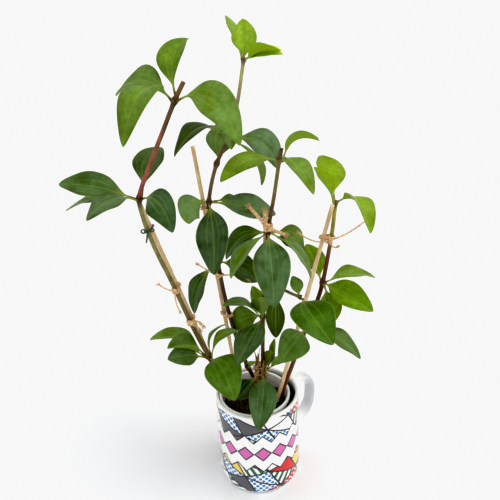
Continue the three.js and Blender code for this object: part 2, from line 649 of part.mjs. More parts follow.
// a loose end: a five-sided tube along a smooth line, thinner at its tip
function strand(route, thickness) {
  const curve = new THREE.QuadraticBezierCurve3(route[0], route[1], route[2]);
  const rings = [];
  for (let i = 0; i <= STRAND.steps; i += 1) {
    const share = i / STRAND.steps;
    const [across, over] = crossAxes(curve.getTangent(share));
    const radius = thickness * (1 - STRAND.taper * share);
    rings.push(ring(curve.getPoint(share), across, over, [radius, radius], STRAND.sides));
  }
  return solid(loft(rings));
}

function paint(colour, roughness) {
  return new THREE.MeshStandardMaterial({ color: colour, roughness, metalness: 0 });
}

const group = new THREE.Group();

function place(name, body, material) {
  const mesh = new THREE.Mesh(geometryOf(body), material);
  mesh.name = name;
  group.add(mesh);
}

place('mug', mugBody(), paint(COLOURS.mug, 0.25));
place('nursery_pot', potBody(), paint(COLOURS.pot, 0.5));
place('soil', soilBody(), paint(COLOURS.soil, 0.95));
place('stem_left', stemBody('left'), paint(COLOURS.stem, 0.6));
place('stem_middle', stemBody('middle'), paint(COLOURS.stem, 0.6));
place('stem_centre', stemBody('centre').add(stemBody('twig')), paint(COLOURS.stem, 0.6));
place('stem_right', stemBody('right'), paint(COLOURS.stem, 0.6));
for (const name of Object.keys(STAKES)) place(`stake_${name}`, stakeBody(name), paint(COLOURS.stake, 0.7));
for (const whorl of WHORLS) {
  const young = whorl.name === 'leaves_middle_top' || whorl.name === 'leaves_right_top';
  place(whorl.name, whorlBody(whorl), paint(young ? COLOURS.youngLeaf : COLOURS.leaf, 0.4));
}
for (const tie of TIES) place(tie.name, tieBody(tie), paint(tie.wire ? COLOURS.wire : COLOURS.twine, 0.9));

group.updateMatrixWorld(true);
const box = new THREE.Box3().setFromObject(group, true);
const shift = new THREE.Vector3(-(box.min.x + box.max.x) / 2, -(box.min.y + box.max.y) / 2, -box.min.z);
for (const mesh of group.children) mesh.geometry.translate(shift.x, shift.y, shift.z);

export default group;
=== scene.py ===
"""A peperomia tied to split bamboo stakes, in a nursery pot that stands in a printed mug.

Every finished piece is worked out as a surface round the CAD frame. Shapes are in millimetres, from
the mug's axis at the table: x right, y back, z up. They are moved into the frame as they are made.
"""

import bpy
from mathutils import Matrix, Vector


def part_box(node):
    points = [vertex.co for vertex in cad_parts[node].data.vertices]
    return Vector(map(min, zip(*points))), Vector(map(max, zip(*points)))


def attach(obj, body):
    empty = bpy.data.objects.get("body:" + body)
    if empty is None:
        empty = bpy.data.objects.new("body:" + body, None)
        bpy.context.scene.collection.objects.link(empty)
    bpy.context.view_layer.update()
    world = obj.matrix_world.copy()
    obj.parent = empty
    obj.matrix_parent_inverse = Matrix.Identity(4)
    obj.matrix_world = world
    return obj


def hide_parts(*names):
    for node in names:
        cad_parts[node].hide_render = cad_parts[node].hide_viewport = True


bl_info = {
    "name": "Peperomia in a mug",
    "version": (1, 0, 0),
    "blender": (4, 5, 0),
    "location": "3D View > Sidebar > Peperomia",
    "description": "Finished pieces of a potted peperomia, round its CAD frame",
    "category": "Add Mesh",
}

import bpy
import numpy as np
from mathutils import Matrix

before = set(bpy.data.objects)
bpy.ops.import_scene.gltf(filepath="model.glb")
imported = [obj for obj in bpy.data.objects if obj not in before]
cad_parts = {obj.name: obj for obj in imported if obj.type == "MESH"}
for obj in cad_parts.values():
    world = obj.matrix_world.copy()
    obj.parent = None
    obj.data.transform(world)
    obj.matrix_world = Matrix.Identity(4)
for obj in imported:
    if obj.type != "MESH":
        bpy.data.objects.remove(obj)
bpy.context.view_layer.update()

MM = 0.001
TURN = 2 * np.pi
UP = np.array([0.0, 0.0, 1.0])
BACK = np.array([0.0, 1.0, 0.0])

# the pot's centre is known from the mug's axis, so its box tells where that axis is in the frame
POT_CENTRE = np.array([-2.3, -1.0])
POT_LOW, POT_HIGH = (np.array(corner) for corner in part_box("nursery_pot"))
AXIS = np.append((POT_LOW + POT_HIGH)[:2] / 2 / MM - POT_CENTRE, 0.0)

# Stems: radius low and high, then the points of the smooth line through which each one grows.
STEMS = {
    "left": ((2.1, 1.7), [
        (-22, -5, 52), (-24, -5, 84), (-44, -6, 141), (-54, -6, 168), (-66, -8, 208), (-72, -9, 228),
        (-78, -10, 246), (-83.5, -11, 266), (-87, -12, 284), (-88, -12, 299), (-76, -13, 326),
        (-63, -15, 351), (-51, -16, 374), (-43, -17, 387)]),
    "middle": ((2.1, 1.5), [
        (8, 8, 52), (6, 8, 84), (-8, 7, 119), (-19, 9, 159), (-26, 11, 196), (-30, 14, 229),
        (-34, 14, 265), (-34, 14, 286), (-25, 16, 319), (-14, 18, 339), (-5, 20, 367), (2, 22, 401)]),
    "centre": ((2.0, 1.5), [
        (5, 1, 52), (5, 1, 84), (7, 1, 116), (7.5, 1, 140), (9, 0, 178), (13, -1, 221), (16, -2, 261),
        (22, -3, 294), (27, -4, 324), (29, -4, 333)]),
    "right": ((2.2, 1.7), [
        (22, 0, 52), (25, 0, 88), (36, -1, 125), (49, -2, 165), (60, -1, 195), (64, 0, 210),
        (69, 0, 240), (72, 0, 262), (74, 0, 286)]),
    "twig": ((1.5, 1.3), [(13, -1, 221), (22, -8, 213), (32, -12, 208), (43, -14, 203)]),
}

# how each stem's bark changes colour with height
STEM_TONES = {
    "left": [(84, "#7a5130"), (135, "#653c24"), (150, "#7b663b"), (290, "#95915a"), (298, "#502f1f"),
             (306, "#a65e4e"), (345, "#9d614a"), (372, "#6c5430"), (387, "#906640")],
    "middle": [(84, "#5a3f26"), (150, "#503827"), (230, "#5e452d"), (284, "#533b27"), (300, "#886845"),
               (336, "#715635"), (342, "#716032"), (352, "#94704c"), (372, "#b3a377"), (392, "#c3c784"),
               (401, "#8a5a3c")],
    "centre": [(84, "#5d3c28"), (180, "#61412c"), (258, "#5d392a"), (285, "#725439"), (305, "#918648"),
               (320, "#887e49"), (333, "#71482e")],
    "right": [(84, "#7a4e2e"), (150, "#70462a"), (200, "#5a2f1d"), (236, "#80452c"), (256, "#9f903f"),
              (276, "#beb943"), (286, "#5e3922")],
    "twig": [(200, "#777439"), (225, "#715731")],
}

# Whorls: stem, the route's point that carries it, and its leaves. Each leaf has azimuth and rise in
# degrees, reach and width, bow and sway as shares of its length, roll, twist and fold in degrees, the
# stalk's length, then how young and how grey it is, from 0 to 1, and its tone, which is 1 on average:
# a brightness that is partly the leaf's own shade of green and partly painted light and shade.
WHORLS = {
    "leaves_left_low": ("left", 2, [
        (173, 17, 58, 26, .17, -.06, -4, 10, 24, 8, .31, .34, 1.23),
        (206, 30, 44, 30, .1, -.03, 5, 0, 48, 9, .25, .35, 1.05),
        (204, 14, 40, 25, .07, .01, 26, 0, 15, 8, .35, .4, .46),
        (297, -14, 56, 37, .19, .01, -17, -13, 26, 6, .05, .1, 1.51),
        (40, 50, 34, 14, .3, .05, 40, 0, 17, 6, .3, .5, 1),
        (0, 41, 40, 16, .2, 0, -12, 11, 22, 7, 1, .75, .75)]),
    "leaves_left_middle": ("left", 9, [
        (64, 44, 51, 30, .11, -.01, -5, -9, 23, 12, .35, .25, .35),
        (181, 14, 64, 28, .06, .01, 33, 13, 16, 9, .1, .3, .85),
        (224, -7, 48, 26, .19, .06, 10, -2, 4, 8, .65, .45, .25),
        (173, -8, 65, 26, .1, .01, 7, -8, 9, 8, .25, .2, 1),
        (311, -22, 49, 25, .27, 0, -45, 5, 20, 8, 0, .31, .73)]),
    "leaves_left_top": ("left", 12, [
        (67, 56, 52, 27, .21, .05, 6, -5, 27, 10, .21, .1, 1.28),
        (241, -21, 66, 27, .37, .08, 5, 28, 10, 8, .25, .15, 1.01),
        (160, 5, 51, 28, .27, 0, 40, -50, 12, 6, .25, .24, .96),
        (320, -25, 68, 26, .28, -.03, -55, 0, 15, 8, .35, .39, 1.26)]),
    "leaves_middle_base": ("middle", 2, [
        (294, 45, 22, 10, 0, 0, 20, 0, 16, 6, .3, .2, 1)]),
    "leaves_middle_low": ("middle", 5, [
        (193, -62, 56, 25, .1, 0, 24, 0, 15, 8, 0, .15, .8),
        (5, -33, 43, 31, .1, 0, -36, 0, 12, 3, .2, .2, .45)]),
    "leaves_middle": ("middle", 7, [
        (274, -47, 67, 30, .12, .03, -12, -13, 22, 5, .1, .3, .35),
        (155, -45, 32, 28, .25, -.03, 85, 0, 14, 3, 1, .8, 1),
        (6, -15, 61, 29, .03, 0, -35, 0, 12, 7, .75, .61, .25),
        (32, -22, 46, 20, .12, .01, -20, 0, 15, 8, .2, .2, 1)]),
    "leaves_middle_single": ("middle", 8, [
        (70, 50, 44, 29, .03, 0, 0, 0, 10, 4, .72, .35, .39)]),
    "leaves_middle_high": ("middle", 9, [
        (222, -6, 56, 28, .31, .08, 5, -5, 12, 4, .2, .06, .34),
        (345, -31, 49, 29, .25, -.06, -35, 0, 15, 5, .85, .7, .3),
        (275, -5, 34, 18, .25, 0, 0, 0, 20, 8, .9, .25, .3),
        (18, -57, 52, 26, .15, -.02, -5, 0, 18, 8, .2, .4, 1)]),
    "leaves_middle_top": ("middle", 11, [
        (114, 46, 47, 14, .06, 0, -20, -3, 15, 8, 1, .35, .8),
        (90, 82, 29, 21, .05, -.04, 8, 6, 12, 1, 1, .3, 1.05),
        (325, 7, 35, 22, .08, -.03, 5, 0, 30, 1, 1, 0, 1.75),
        (330, 3, 35, 9, .04, 0, -35, 0, 20, 1, 1, .4, 1.75)]),
    "leaves_centre_base": ("centre", 2, [
        (262, -22, 60, 28, .12, .05, 8, 0, 23, 7, .05, .45, .8),
        (213, -32, 36, 25, .08, .04, -5, 4, 12, 10, .09, .06, .25),
        (343, 68, 26, 16, .08, 0, -31, 0, 16, 8, .94, 0, .53),
        (30, 0, 36, 26, .1, 0, 20, 0, 12, 7, .25, 0, 1),
        (14, 70, 37, 15, -.06, 0, -5, 0, 12, 8, .35, .2, 1)]),
    "leaves_centre_low": ("centre", 4, [
        (242, -20, 56, 29, .09, .04, -7, 7, 12, 4, .05, .3, .6),
        (158, -33, 36, 28, .12, 0, 65, 0, 12, 2, .35, .2, .75),
        (200, 28, 43, 23, .18, 0, 0, 0, 15, 3, .61, .41, .47),
        (255, 66, 29, 21, .05, 0, -10, 0, 25, 2, 0, 0, .25),
        (120, 55, 30, 18, .05, 0, -10, 0, 15, 2, .78, .39, 1.12)]),
    "leaves_centre_high": ("centre", 6, [
        (150, -36, 56, 24, .15, 0, 50, 0, 12, 2, .05, .05, .85),
        (208, -41, 51, 25, .1, .01, -4, 3, 18, 4, .35, .5, 1.2),
        (271, -42, 68, 33, .15, 0, 0, 0, 24, 4, .05, .45, .86),
        (24, -38, 45, 27, .15, .01, -48, -2, 14, 7, .85, .3, .45),
        (344, -47, 55, 24, .12, .01, 2, -8, 11, 8, .95, .75, .75),
        (10, -35, 30, 16, 0, 0, -20, 0, 12, 8, .35, .2, 1)]),
    "leaves_centre_top": ("centre", 8, [
        (215, -8, 58, 21, .14, 0, 24, 0, 12, 4, .49, .1, .81),
        (352, 25, 35, 24, .3, -.05, 20, 0, 15, 5, .6, 0, 1),
        (294, -18, 55, 21, .23, -.06, 5, -11, 14, 5, .44, .3, 1.03)]),
    "leaf_twig": ("twig", 1, [
        (257, -75, 48, 18, .05, 0, 0, 0, 15, 8, .3, .05, .3)]),
    "leaves_twig_end": ("twig", 3, [
        (288, -12, 61, 38, .13, -.1, -11, 0, 19, 5, 0, .05, 1.59),
        (118, 50, 21, 14, .05, 0, 0, 0, 16, 2, .3, .4, 1)]),
    "leaves_right_low": ("right", 3, [
        (237, -7, 53, 30, .08, .05, 31, 0, 21, 7, .1, .29, 1.31),
        (347, -30, 59, 26, .12, .01, -8, 3, 8, 8, .2, .25, .76)]),
    "leaves_right": ("right", 5, [
        (108, 38, 42, 23, .04, 0, 0, 0, 18, 5, .25, 0, 1.1),
        (14, -4, 53, 25, .11, .01, -4, 8, 20, 5, .45, .2, 1),
        (311, -9, 55, 26, .07, -.05, -39, 0, 26, 2.5, .15, 0, 1.65),
        (280, -50, 38, 22, .15, 0, 0, 0, 20, 8, .35, .1, 1)]),
    "leaves_right_top": ("right", 8, [
        (102, 44, 47, 30, .1, -.02, -17, 13, 16, 7, .6, 0, 1.05),
        (221, 51, 44, 16, .07, .01, -8, 0, 17, 8, 1, 0, 1.75),
        (293, -16, 51, 26, .31, .01, 20, -5, 20, 6, .6, .1, 1.05)]),
}
YOUNG_WHORLS = ("leaves_middle_top", "leaves_right_top")

# Stakes: a straight strip from the soil to its cut top.
STAKE_SIZE = (3.6, 2.4)
STAKES = {
    "left": ((-15, 3, 40), (-91, -4, 296)),
    "middle": ((-13, 9, 40), (-45, 24, 333)),
    "centre": ((3, 14, 40), (15, 5, 279)),
    "right": ((9, -2, 40), (70.5, -5, 284)),
}

# Ties: stem, height, turns round it, knot size, each loose end's bend and tip from the knot, and how
# many cords each end is twisted from.
TWINES = {
    "twine_left_middle": ("left", 214, 2, 2.1, [
        ((-8, 0, 2), (-14, 1, 7)), ((-2, -1, -9), (2, 0, -20))], 1),
    "twine_left_low": ("left", 180, 2, 2.0, [((7, 0, 5), (11, 1, -4)), ((5, -1, 0), (8, 0, -8))], 2),
    "twine_middle_high": ("middle", 278, 2, 1.9, [((-1, 0, -4), (-4, 0, -8))], 2),
    "twine_middle": ("middle", 217, 1, 1.9, [
        ((14, 0, 3), (28, -2, -5)), ((-10, 0, 7), (-18, 0, 13))], 1),
    "twine_middle_low": ("middle", 176, 2, 1.9, [((-2, 0, -6), (1, 0, -13))], 1),
    "twine_centre": ("centre", 267, 3, 3.2, [
        ((-6, 1, 8), (-15, 2, 19)), ((-3, 1, 7), (-2, 2, 15)), ((5, -1, -2), (15, 0, -7))], 3),
    "twine_right": ("right", 254, 2, 2.4, [
        ((-12, 0, -4), (-25, 0, 8)), ((16, 0, 3), (31, -1, 17)), ((4, 0, -9), (8, 0, -6))], 1),
}
WIRE = ("left", 271, 1, 1.3, [((-1, 0, -5), (-2, -1, -9)), ((3, 0, 1), (4, -1, 4))])

CUP = {"radius": 41.0, "height": 95.0, "wall": 3.0, "floor": 5.5}
HANDLE_AZIMUTH = 37.0
HANDLE = {"reach": 73.0, "high": 83.0, "low": 30.0, "sunk": 1.2, "rings": 90, "sides": 36}
POT = {"rim": 35.0, "foot": 25.0, "top": 94.0, "bottom": 5.9, "wall": 1.3, "lip": 1.8}
SOIL = {"top": 82.0, "bottom": 7.7, "gap": 0.1, "rings": 46, "sides": 120}

# The print leaves the handle's side of the mug and both edges free. Its band has a middle height, and
# zigzag edges: how far each colour reaches from the middle, on a spike that rises over half a period.
PRINT = {"round": (18.0, 238.0), "up": (3.4, 92.0), "band": 52.0, "spike": 8.5}

# Rings along a leaf's stalk and blade, points round each ring, and how far out on the stem it starts.
LEAF = {"stalk_rows": 8, "blade_rows": 44, "sides": 40, "start": 2.6, "sunk": 1.3}
CORD = {"spacing": 0.45, "sides": 14, "brush": 16}
# how far from the middle of a stem and of a stake a tie's inner side runs
TIE_REACHES = (2.1, 2.2)
FIBRES = {"count": 120, "waist": (4.2, 1.0, 0.0), "levels": (92, 126)}

# Each light's way, share of the key's strength, width in degrees and colour. The room's light is a
# share of the ambient at the horizon and overhead, and falls off across the picture.
LIGHTS = {
    "key_light": ((0.85, -0.2, 1.1), 1.0, 40, (1.0, 0.985, 0.96)),
    "front_light": ((-0.35, -1.0, 0.45), 0.2, 60, (1.0, 1.0, 1.0)),
}
ROOM = {"horizon": 0.86, "overhead": 1.35, "across": -0.3}
SWEEP = {"flat": 1.2, "edge": 12.0, "rise": 0.031}
CAMERA = {"place": (-0.196, -389.99, 402.26), "pitch": 21.974, "roll": -2.687, "sensor": 36.0}

# where each piece's random draws begin
SEEDS = {"crumb_places": 11, "crumbs": 20, "stakes": 40, "twine": 60, "dry_fibre": 90, "leaves": 100}


# Arrays and lines

def unit(vectors):
    """Each vector divided by its own length."""
    return vectors / np.linalg.norm(vectors, axis=-1, keepdims=True)


def ease(low, high, value):
    """0 below low, 1 above high, and the smooth cubic 3x^2 - 2x^3 between them."""
    x = np.clip((np.asarray(value, float) - low) / (high - low), 0, 1)
    return x * x * (3 - 2 * x)


def hump(distance, width):
    """A bell: e to the power of minus the square of distance over width."""
    return np.exp(-(np.asarray(distance) / width) ** 2)


def round_angles(count):
    """Even angles round a full turn."""
    return TURN * np.arange(count) / count


def directions(azimuth):
    """Level directions outwards at an azimuth in radians, and square to it."""
    c, s = np.cos(azimuth), np.sin(azimuth)
    return np.array([c, s, 0]), np.array([-s, c, 0])


def squarish(wave, power):
    """A sine or cosine whose size is raised to a power, which turns an ellipse squarish."""
    return np.sign(wave) * np.abs(wave) ** power


def smooth_line(route, shares):
    """Points and ways ahead on the centripetal Catmull-Rom line through a route: between two points
    it is the cubic whose end slopes come from their neighbours, weighted by the roots of the gaps."""
    route = np.asarray(route, float)
    padded = np.vstack([2 * route[0] - route[1], route, 2 * route[-1] - route[-2]])
    place = np.clip(shares, 0, 1) * (len(route) - 1)
    first = np.minimum(place.astype(int), len(route) - 2)
    w = (place - first)[:, None]
    a, b, c, d = (padded[first + k] for k in range(4))
    gaps = [np.sqrt(np.linalg.norm(q - p, axis=1))[:, None] for p, q in ((a, b), (b, c), (c, d))]
    g0, g1, g2 = gaps
    start = ((b - a) / g0 - (c - a) / (g0 + g1) + (c - b) / g1) * g1
    end = ((c - b) / g1 - (d - b) / (g1 + g2) + (d - c) / g2) * g1
    square = 3 * (c - b) - 2 * start - end
    cube = 2 * (b - c) + start + end
    points = b + start * w + square * w ** 2 + cube * w ** 3
    return points, unit(start + 2 * square * w + 3 * cube * w ** 2)


def evenly(points, spacing):
    """The same line with points at even distances along it, and its ways ahead."""
    steps = np.linalg.norm(np.diff(points, axis=0), axis=1)
    travelled = np.append(0, np.cumsum(steps))
    count = max(4, int(travelled[-1] / spacing) + 1)
    wanted = np.linspace(0, travelled[-1], count)
    line = np.stack([np.interp(wanted, travelled, points[:, k]) for k in range(3)], 1)
    return line, unit(np.gradient(line, axis=0)), wanted


def rings(centres, ahead, reference, radius, sides, flat=1.0):
    """Rings round a line: centre + across * radius * cos + over * radius * flat * sin, with both
    directions square to the way ahead. The radius is one number, one a row, or one a point."""
    across = unit(np.cross(reference, ahead))
    over = np.cross(ahead, across)
    angle = round_angles(sides)
    radius = np.broadcast_to(np.reshape(radius, (-1, 1)) if np.ndim(radius) < 2 else radius,
                             (len(centres), sides))[..., None]
    sideways = across[:, None] * np.cos(angle)[None, :, None]
    upwards = over[:, None] * np.sin(angle)[None, :, None] * flat
    return centres[:, None] + radius * (sideways + upwards)


def softened(corners, cut, steps=6):
    """An outline whose corners are replaced by a quadratic curve from cut before to cut after."""
    p = np.asarray(corners, float)
    before, here, after = p[:-2], p[1:-1], p[2:]
    legs = np.minimum(np.linalg.norm(before - here, axis=1), np.linalg.norm(after - here, axis=1))
    cut = np.minimum(cut, 0.45 * legs)[:, None]
    start = here + cut * unit(before - here)
    end = here + cut * unit(after - here)
    t = np.linspace(0, 1, steps)[None, :, None]
    bends = (1 - t) ** 2 * start[:, None] + 2 * t * (1 - t) * here[:, None] + t ** 2 * end[:, None]
    return np.vstack([p[:1], bends.reshape(-1, p.shape[1]), p[-1:]])


def turned(profile, columns):
    """A profile of radius and height carried round the upright axis: (r cos, r sin, z)."""
    angle = round_angles(columns) + np.radians(HANDLE_AZIMUTH)
    r, z = profile[:, :1], profile[:, 1:]
    return np.stack([r * np.cos(angle), r * np.sin(angle), np.broadcast_to(z, (len(r), columns))], -1)


def lumps(points, waves, seed):
    """Uneven ground: the mean of sine waves in random directions, each with its own phase."""
    draw = np.random.default_rng(seed)
    total = np.zeros(points.shape[:-1])
    for length in waves:
        way = unit(draw.normal(size=points.shape[-1]))
        total += np.sin(TURN * (points @ way) / length + draw.uniform(0, TURN))
    return total / len(waves)


# Meshes

def quad_grid(rows, columns):
    """Row and column of each quad between rings of points, and its corners' numbers."""
    i, j = np.meshgrid(np.arange(rows - 1), np.arange(columns), indexing="ij")
    near, far = i * columns, (i + 1) * columns
    k = (j + 1) % columns
    return i, j, np.stack([near + j, near + k, far + k, far + j], -1)


def skin(points, uv_size=(1.0, 1.0), uv_rows=None, **values):
    """A closed shell from rings of points: quads between rings, and a fan over each end ring. The
    faces look outwards, which the sign of the volume tells. Values are given for every point."""
    rows, columns, _ = points.shape
    i, j, quads = quad_grid(rows, columns)
    heights = np.linspace(0, uv_size[1], rows) if uv_rows is None else uv_rows
    u = np.stack([j, j + 1, j + 1, j], -1) / columns * uv_size[0]
    v = np.stack([heights[i], heights[i], heights[i + 1], heights[i + 1]], -1)
    here, following = np.arange(columns), (np.arange(columns) + 1) % columns
    last = (rows - 1) * columns
    start = np.stack([following, here, np.full(columns, rows * columns)], -1)
    finish = np.stack([last + here, last + following, np.full(columns, rows * columns + 1)], -1)
    corners = np.vstack([points.reshape(-1, 3), points[0].mean(0), points[-1].mean(0)])
    fan_uv = np.zeros((2 * columns, 3, 2))
    fan_uv[:columns, :, 1] = heights[0]
    fan_uv[columns:, :, 1] = heights[-1]
    part = {
        "points": corners, "quads": quads.reshape(-1, 4), "fans": np.vstack([start, finish]),
        "quad_uv": np.stack([u, v], -1).reshape(-1, 4, 2), "fan_uv": fan_uv, "values": {},
    }
    for name, value in values.items():
        value = np.broadcast_to(value, (rows, columns, 3))
        part["values"][name] = np.vstack([value.reshape(-1, 3), value[0].mean(0), value[-1].mean(0)])
    return outwards(part)


def outwards(part):
    """Turns a closed shell's faces round if its volume, a sixth of the sum of the triangles' triple
    products, comes out negative."""
    p, quads = part["points"] - part["points"].mean(0), part["quads"]
    triangles = np.vstack([quads[:, [0, 1, 2]], quads[:, [0, 2, 3]], part["fans"]])
    a, b, c = (p[triangles[:, k]] for k in range(3))
    if np.einsum("ij,ij->", a, np.cross(b, c)) < 0:
        for name in ("quads", "fans", "quad_uv", "fan_uv"):
            part[name] = part[name][:, ::-1]
    return part


def scattered(places, sizes, seed, **values):
    """Crumbs: a twenty-sided body with uneven corners, stretched, turned and set at each place."""
    golden = (1 + 5 ** 0.5) / 2
    corners = unit(np.array([
        (-1, golden, 0), (1, golden, 0), (-1, -golden, 0), (1, -golden, 0), (0, -1, golden),
        (0, 1, golden), (0, -1, -golden), (0, 1, -golden), (golden, 0, -1), (golden, 0, 1),
        (-golden, 0, -1), (-golden, 0, 1)], float))
    faces = np.array([
        (0, 11, 5), (0, 5, 1), (0, 1, 7), (0, 7, 10), (0, 10, 11), (1, 5, 9), (5, 11, 4), (11, 10, 2),
        (10, 7, 6), (7, 1, 8), (3, 9, 4), (3, 4, 2), (3, 2, 6), (3, 6, 8), (3, 8, 9), (4, 9, 5),
        (2, 4, 11), (6, 2, 10), (8, 6, 7), (9, 8, 1)])
    draw = np.random.default_rng(seed)
    count = len(places)
    axes = np.linalg.qr(draw.normal(size=(count, 3, 3)))[0]
    axes *= np.sign(np.linalg.det(axes))[:, None, None]
    shape = corners[None] * draw.uniform(0.7, 1.15, (count, 12, 1)) * sizes[:, None]
    points = places[:, None] + np.einsum("nij,nkj->nki", axes, shape)
    triangles = (faces[None] + 12 * np.arange(count)[:, None, None]).reshape(-1, 3)
    part = {
        "points": points.reshape(-1, 3), "quads": np.zeros((0, 4), int), "fans": triangles,
        "quad_uv": np.zeros((0, 4, 2)), "fan_uv": np.zeros((len(triangles), 3, 2)), "values": {},
    }
    for name, value in values.items():
        part["values"][name] = np.repeat(value, 12, axis=0)
    return part


def make(name, parts, material, replaces=(), crease=None):
    """Joins shells into one mesh object of the plant, which rides on the root and stands for the CAD
    nodes that it replaces. The points are moved from the mug's axis into the frame, in metres."""
    offsets = np.cumsum([0] + [len(part["points"]) for part in parts])
    points = (np.vstack([part["points"] for part in parts]) + AXIS) * MM
    quads = np.vstack([part["quads"] + start for part, start in zip(parts, offsets)])
    fans = np.vstack([part["fans"] + start for part, start in zip(parts, offsets)])
    mesh = bpy.data.meshes.new(name)
    mesh.vertices.add(len(points))
    mesh.vertices.foreach_set("co", points.ravel())
    corners = np.concatenate([quads.ravel(), fans.ravel()])
    mesh.loops.add(len(corners))
    mesh.loops.foreach_set("vertex_index", corners)
    starts = np.concatenate([4 * np.arange(len(quads)), 4 * len(quads) + 3 * np.arange(len(fans))])
    mesh.polygons.add(len(starts))
    mesh.polygons.foreach_set("loop_start", starts)
    mesh.update(calc_edges=True)
    mesh.shade_smooth()
    layer = mesh.uv_layers.new(name="place")
    uv = np.concatenate([np.vstack([part[key].reshape(-1, 2) for part in parts])
                         for key in ("quad_uv", "fan_uv")])
    layer.uv.foreach_set("vector", uv.ravel())
    for key in parts[0]["values"]:
        values = np.vstack([part["values"][key] for part in parts])
        mesh.attributes.new(key, "FLOAT_VECTOR", "POINT").data.foreach_set("vector", values.ravel())
    if crease is not None:
        mesh.set_sharp_from_angle(angle=np.radians(crease))
    mesh.materials.append(material)
    piece = bpy.data.objects.new(name, mesh)
    bpy.context.scene.collection.objects.link(piece)
    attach(piece, "root")
    if replaces:
        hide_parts(*replaces)


# Materials

def tint(code):
    """Linear red, green and blue of a hex colour."""
    value = np.array([int(code[k:k + 2], 16) for k in (1, 3, 5)]) / 255
    linear = np.where(value <= 0.04045, value / 12.92, ((value + 0.055) / 1.055) ** 2.4)
    return tuple(float(part) for part in linear)


class Bench:
    """Places nodes in a tree and joins them: every value may be a number, a colour or a socket."""

    def __init__(self, tree):
        self.tree = tree

    def feed(self, socket, value):
        if isinstance(value, bpy.types.NodeSocket):
            self.tree.links.new(value, socket)
        elif socket.type == "RGBA":
            socket.default_value = (*value, 1.0) if len(value) == 3 else value
        else:
            socket.default_value = value

    def node(self, kind, inputs=(), **settings):
        made = self.tree.nodes.new(kind)
        for key, value in settings.items():
            setattr(made, key, value)
        for key, value in dict(inputs).items():
            self.feed(made.inputs[key], value)
        return made

    def maths(self, operation, *values, clamp=False):
        inputs = dict(enumerate(values))
        return self.node("ShaderNodeMath", inputs, operation=operation, use_clamp=clamp).outputs[0]

    def times(self, *values, **settings):
        return self.maths("MULTIPLY", *values, **settings)

    def plus(self, *values):
        return self.maths("ADD", *values)

    def scaled(self, value, factor, added):
        return self.maths("MULTIPLY_ADD", value, factor, added)

    def rest(self, value):
        """What is left of 1."""
        return self.maths("SUBTRACT", 1.0, value)

    def below(self, value, limit):
        return self.maths("LESS_THAN", value, limit)

    def above(self, value, limit):
        return self.maths("GREATER_THAN", value, limit)

    def step(self, low, high, value):
        """0 below low, 1 above high and a smooth cubic between them."""
        inputs = {"Value": value, "From Min": low, "From Max": high}
        return self.node("ShaderNodeMapRange", inputs, interpolation_type="SMOOTHSTEP").outputs[0]

    def mix(self, share, one, other, blend="MIX"):
        inputs = {0: share, 6: one, 7: other}
        return self.node("ShaderNodeMix", inputs, data_type="RGBA", blend_type=blend).outputs[2]

    def bright(self, colour, factor):
        """A colour, or any vector, times a factor."""
        inputs = {0: colour, "Scale": factor}
        return self.node("ShaderNodeVectorMath", inputs, operation="SCALE").outputs[0]

    def split(self, vector):
        return self.node("ShaderNodeSeparateXYZ", {0: vector}).outputs

    def vector(self, *values):
        return self.node("ShaderNodeCombineXYZ", dict(enumerate(values))).outputs[0]

    def noise(self, place, scale, detail=2.0, roughness=0.5):
        inputs = {"Vector": place, "Scale": scale, "Detail": detail, "Roughness": roughness}
        return self.node("ShaderNodeTexNoise", inputs).outputs["Fac"]

    def stretched(self, place, scale):
        inputs = {"Vector": place, "Scale": scale}
        return self.node("ShaderNodeMapping", inputs).outputs[0]

    def place(self):
        """Where a point is in the frame, in metres."""
        return self.node("ShaderNodeTexCoord").outputs["Object"]

    def attribute(self, name):
        return self.node("ShaderNodeAttribute", attribute_name=name).outputs["Vector"]

    def uv(self):
        """A surface's own coordinates: round it and along it, in mm where skin was given its size."""
        return self.node("ShaderNodeUVMap", uv_map="place").outputs[0]

    def grown(self, group, **inputs):
        """The outputs of a node group that is fed by name."""
        made = self.node("ShaderNodeGroup", node_tree=group)
        for key, value in inputs.items():
            self.feed(made.inputs[key.replace("_", " ")], value)
        return made.outputs

    def shade(self, colour, roughness, height=None, relief=0.0002, strength=1.0, **others):
        """The shader itself: constant values go straight onto its own sockets."""
        shader = self.node("ShaderNodeBsdfPrincipled", {"Base Color": colour, "Roughness": roughness})
        for key, value in others.items():
            self.feed(shader.inputs[key.replace("_", " ")], value)
        if height is not None:
            inputs = {"Height": height, "Distance": relief, "Strength": strength}
            self.feed(shader.inputs["Normal"], self.node("ShaderNodeBump", inputs).outputs[0])
        output = self.node("ShaderNodeOutputMaterial")
        self.tree.links.new(shader.outputs[0], output.inputs["Surface"])


def material(name):
    """A new material without nodes, and the bench that places them."""
    made = bpy.data.materials.new(name)
    made.use_nodes = True
    made.node_tree.nodes.clear()
    return made, Bench(made.node_tree)


def sockets(**kinds):
    """Kinds of a group's sockets by name, from the names of each kind in one text."""
    return {name: kind for kind, names in kinds.items() for name in names.split()}


def group(name, inputs, outputs, fill):
    """A node group with named sockets: fill places its nodes and returns a value for each output."""
    if name in bpy.data.node_groups:
        return bpy.data.node_groups[name]
    tree = bpy.data.node_groups.new(name, "ShaderNodeTree")
    kinds = {"value": "NodeSocketFloat", "colour": "NodeSocketColor", "vector": "NodeSocketVector"}
    for key, kind in inputs.items():
        tree.interface.new_socket(key, in_out="INPUT", socket_type=kinds[kind])
    for key, kind in outputs.items():
        tree.interface.new_socket(key, in_out="OUTPUT", socket_type=kinds[kind])
    bench = Bench(tree)
    given = bench.node("NodeGroupInput").outputs
    results = fill(bench, given)
    end = bench.node("NodeGroupOutput")
    for key, value in results.items():
        bench.feed(end.inputs[key], value)
    return tree


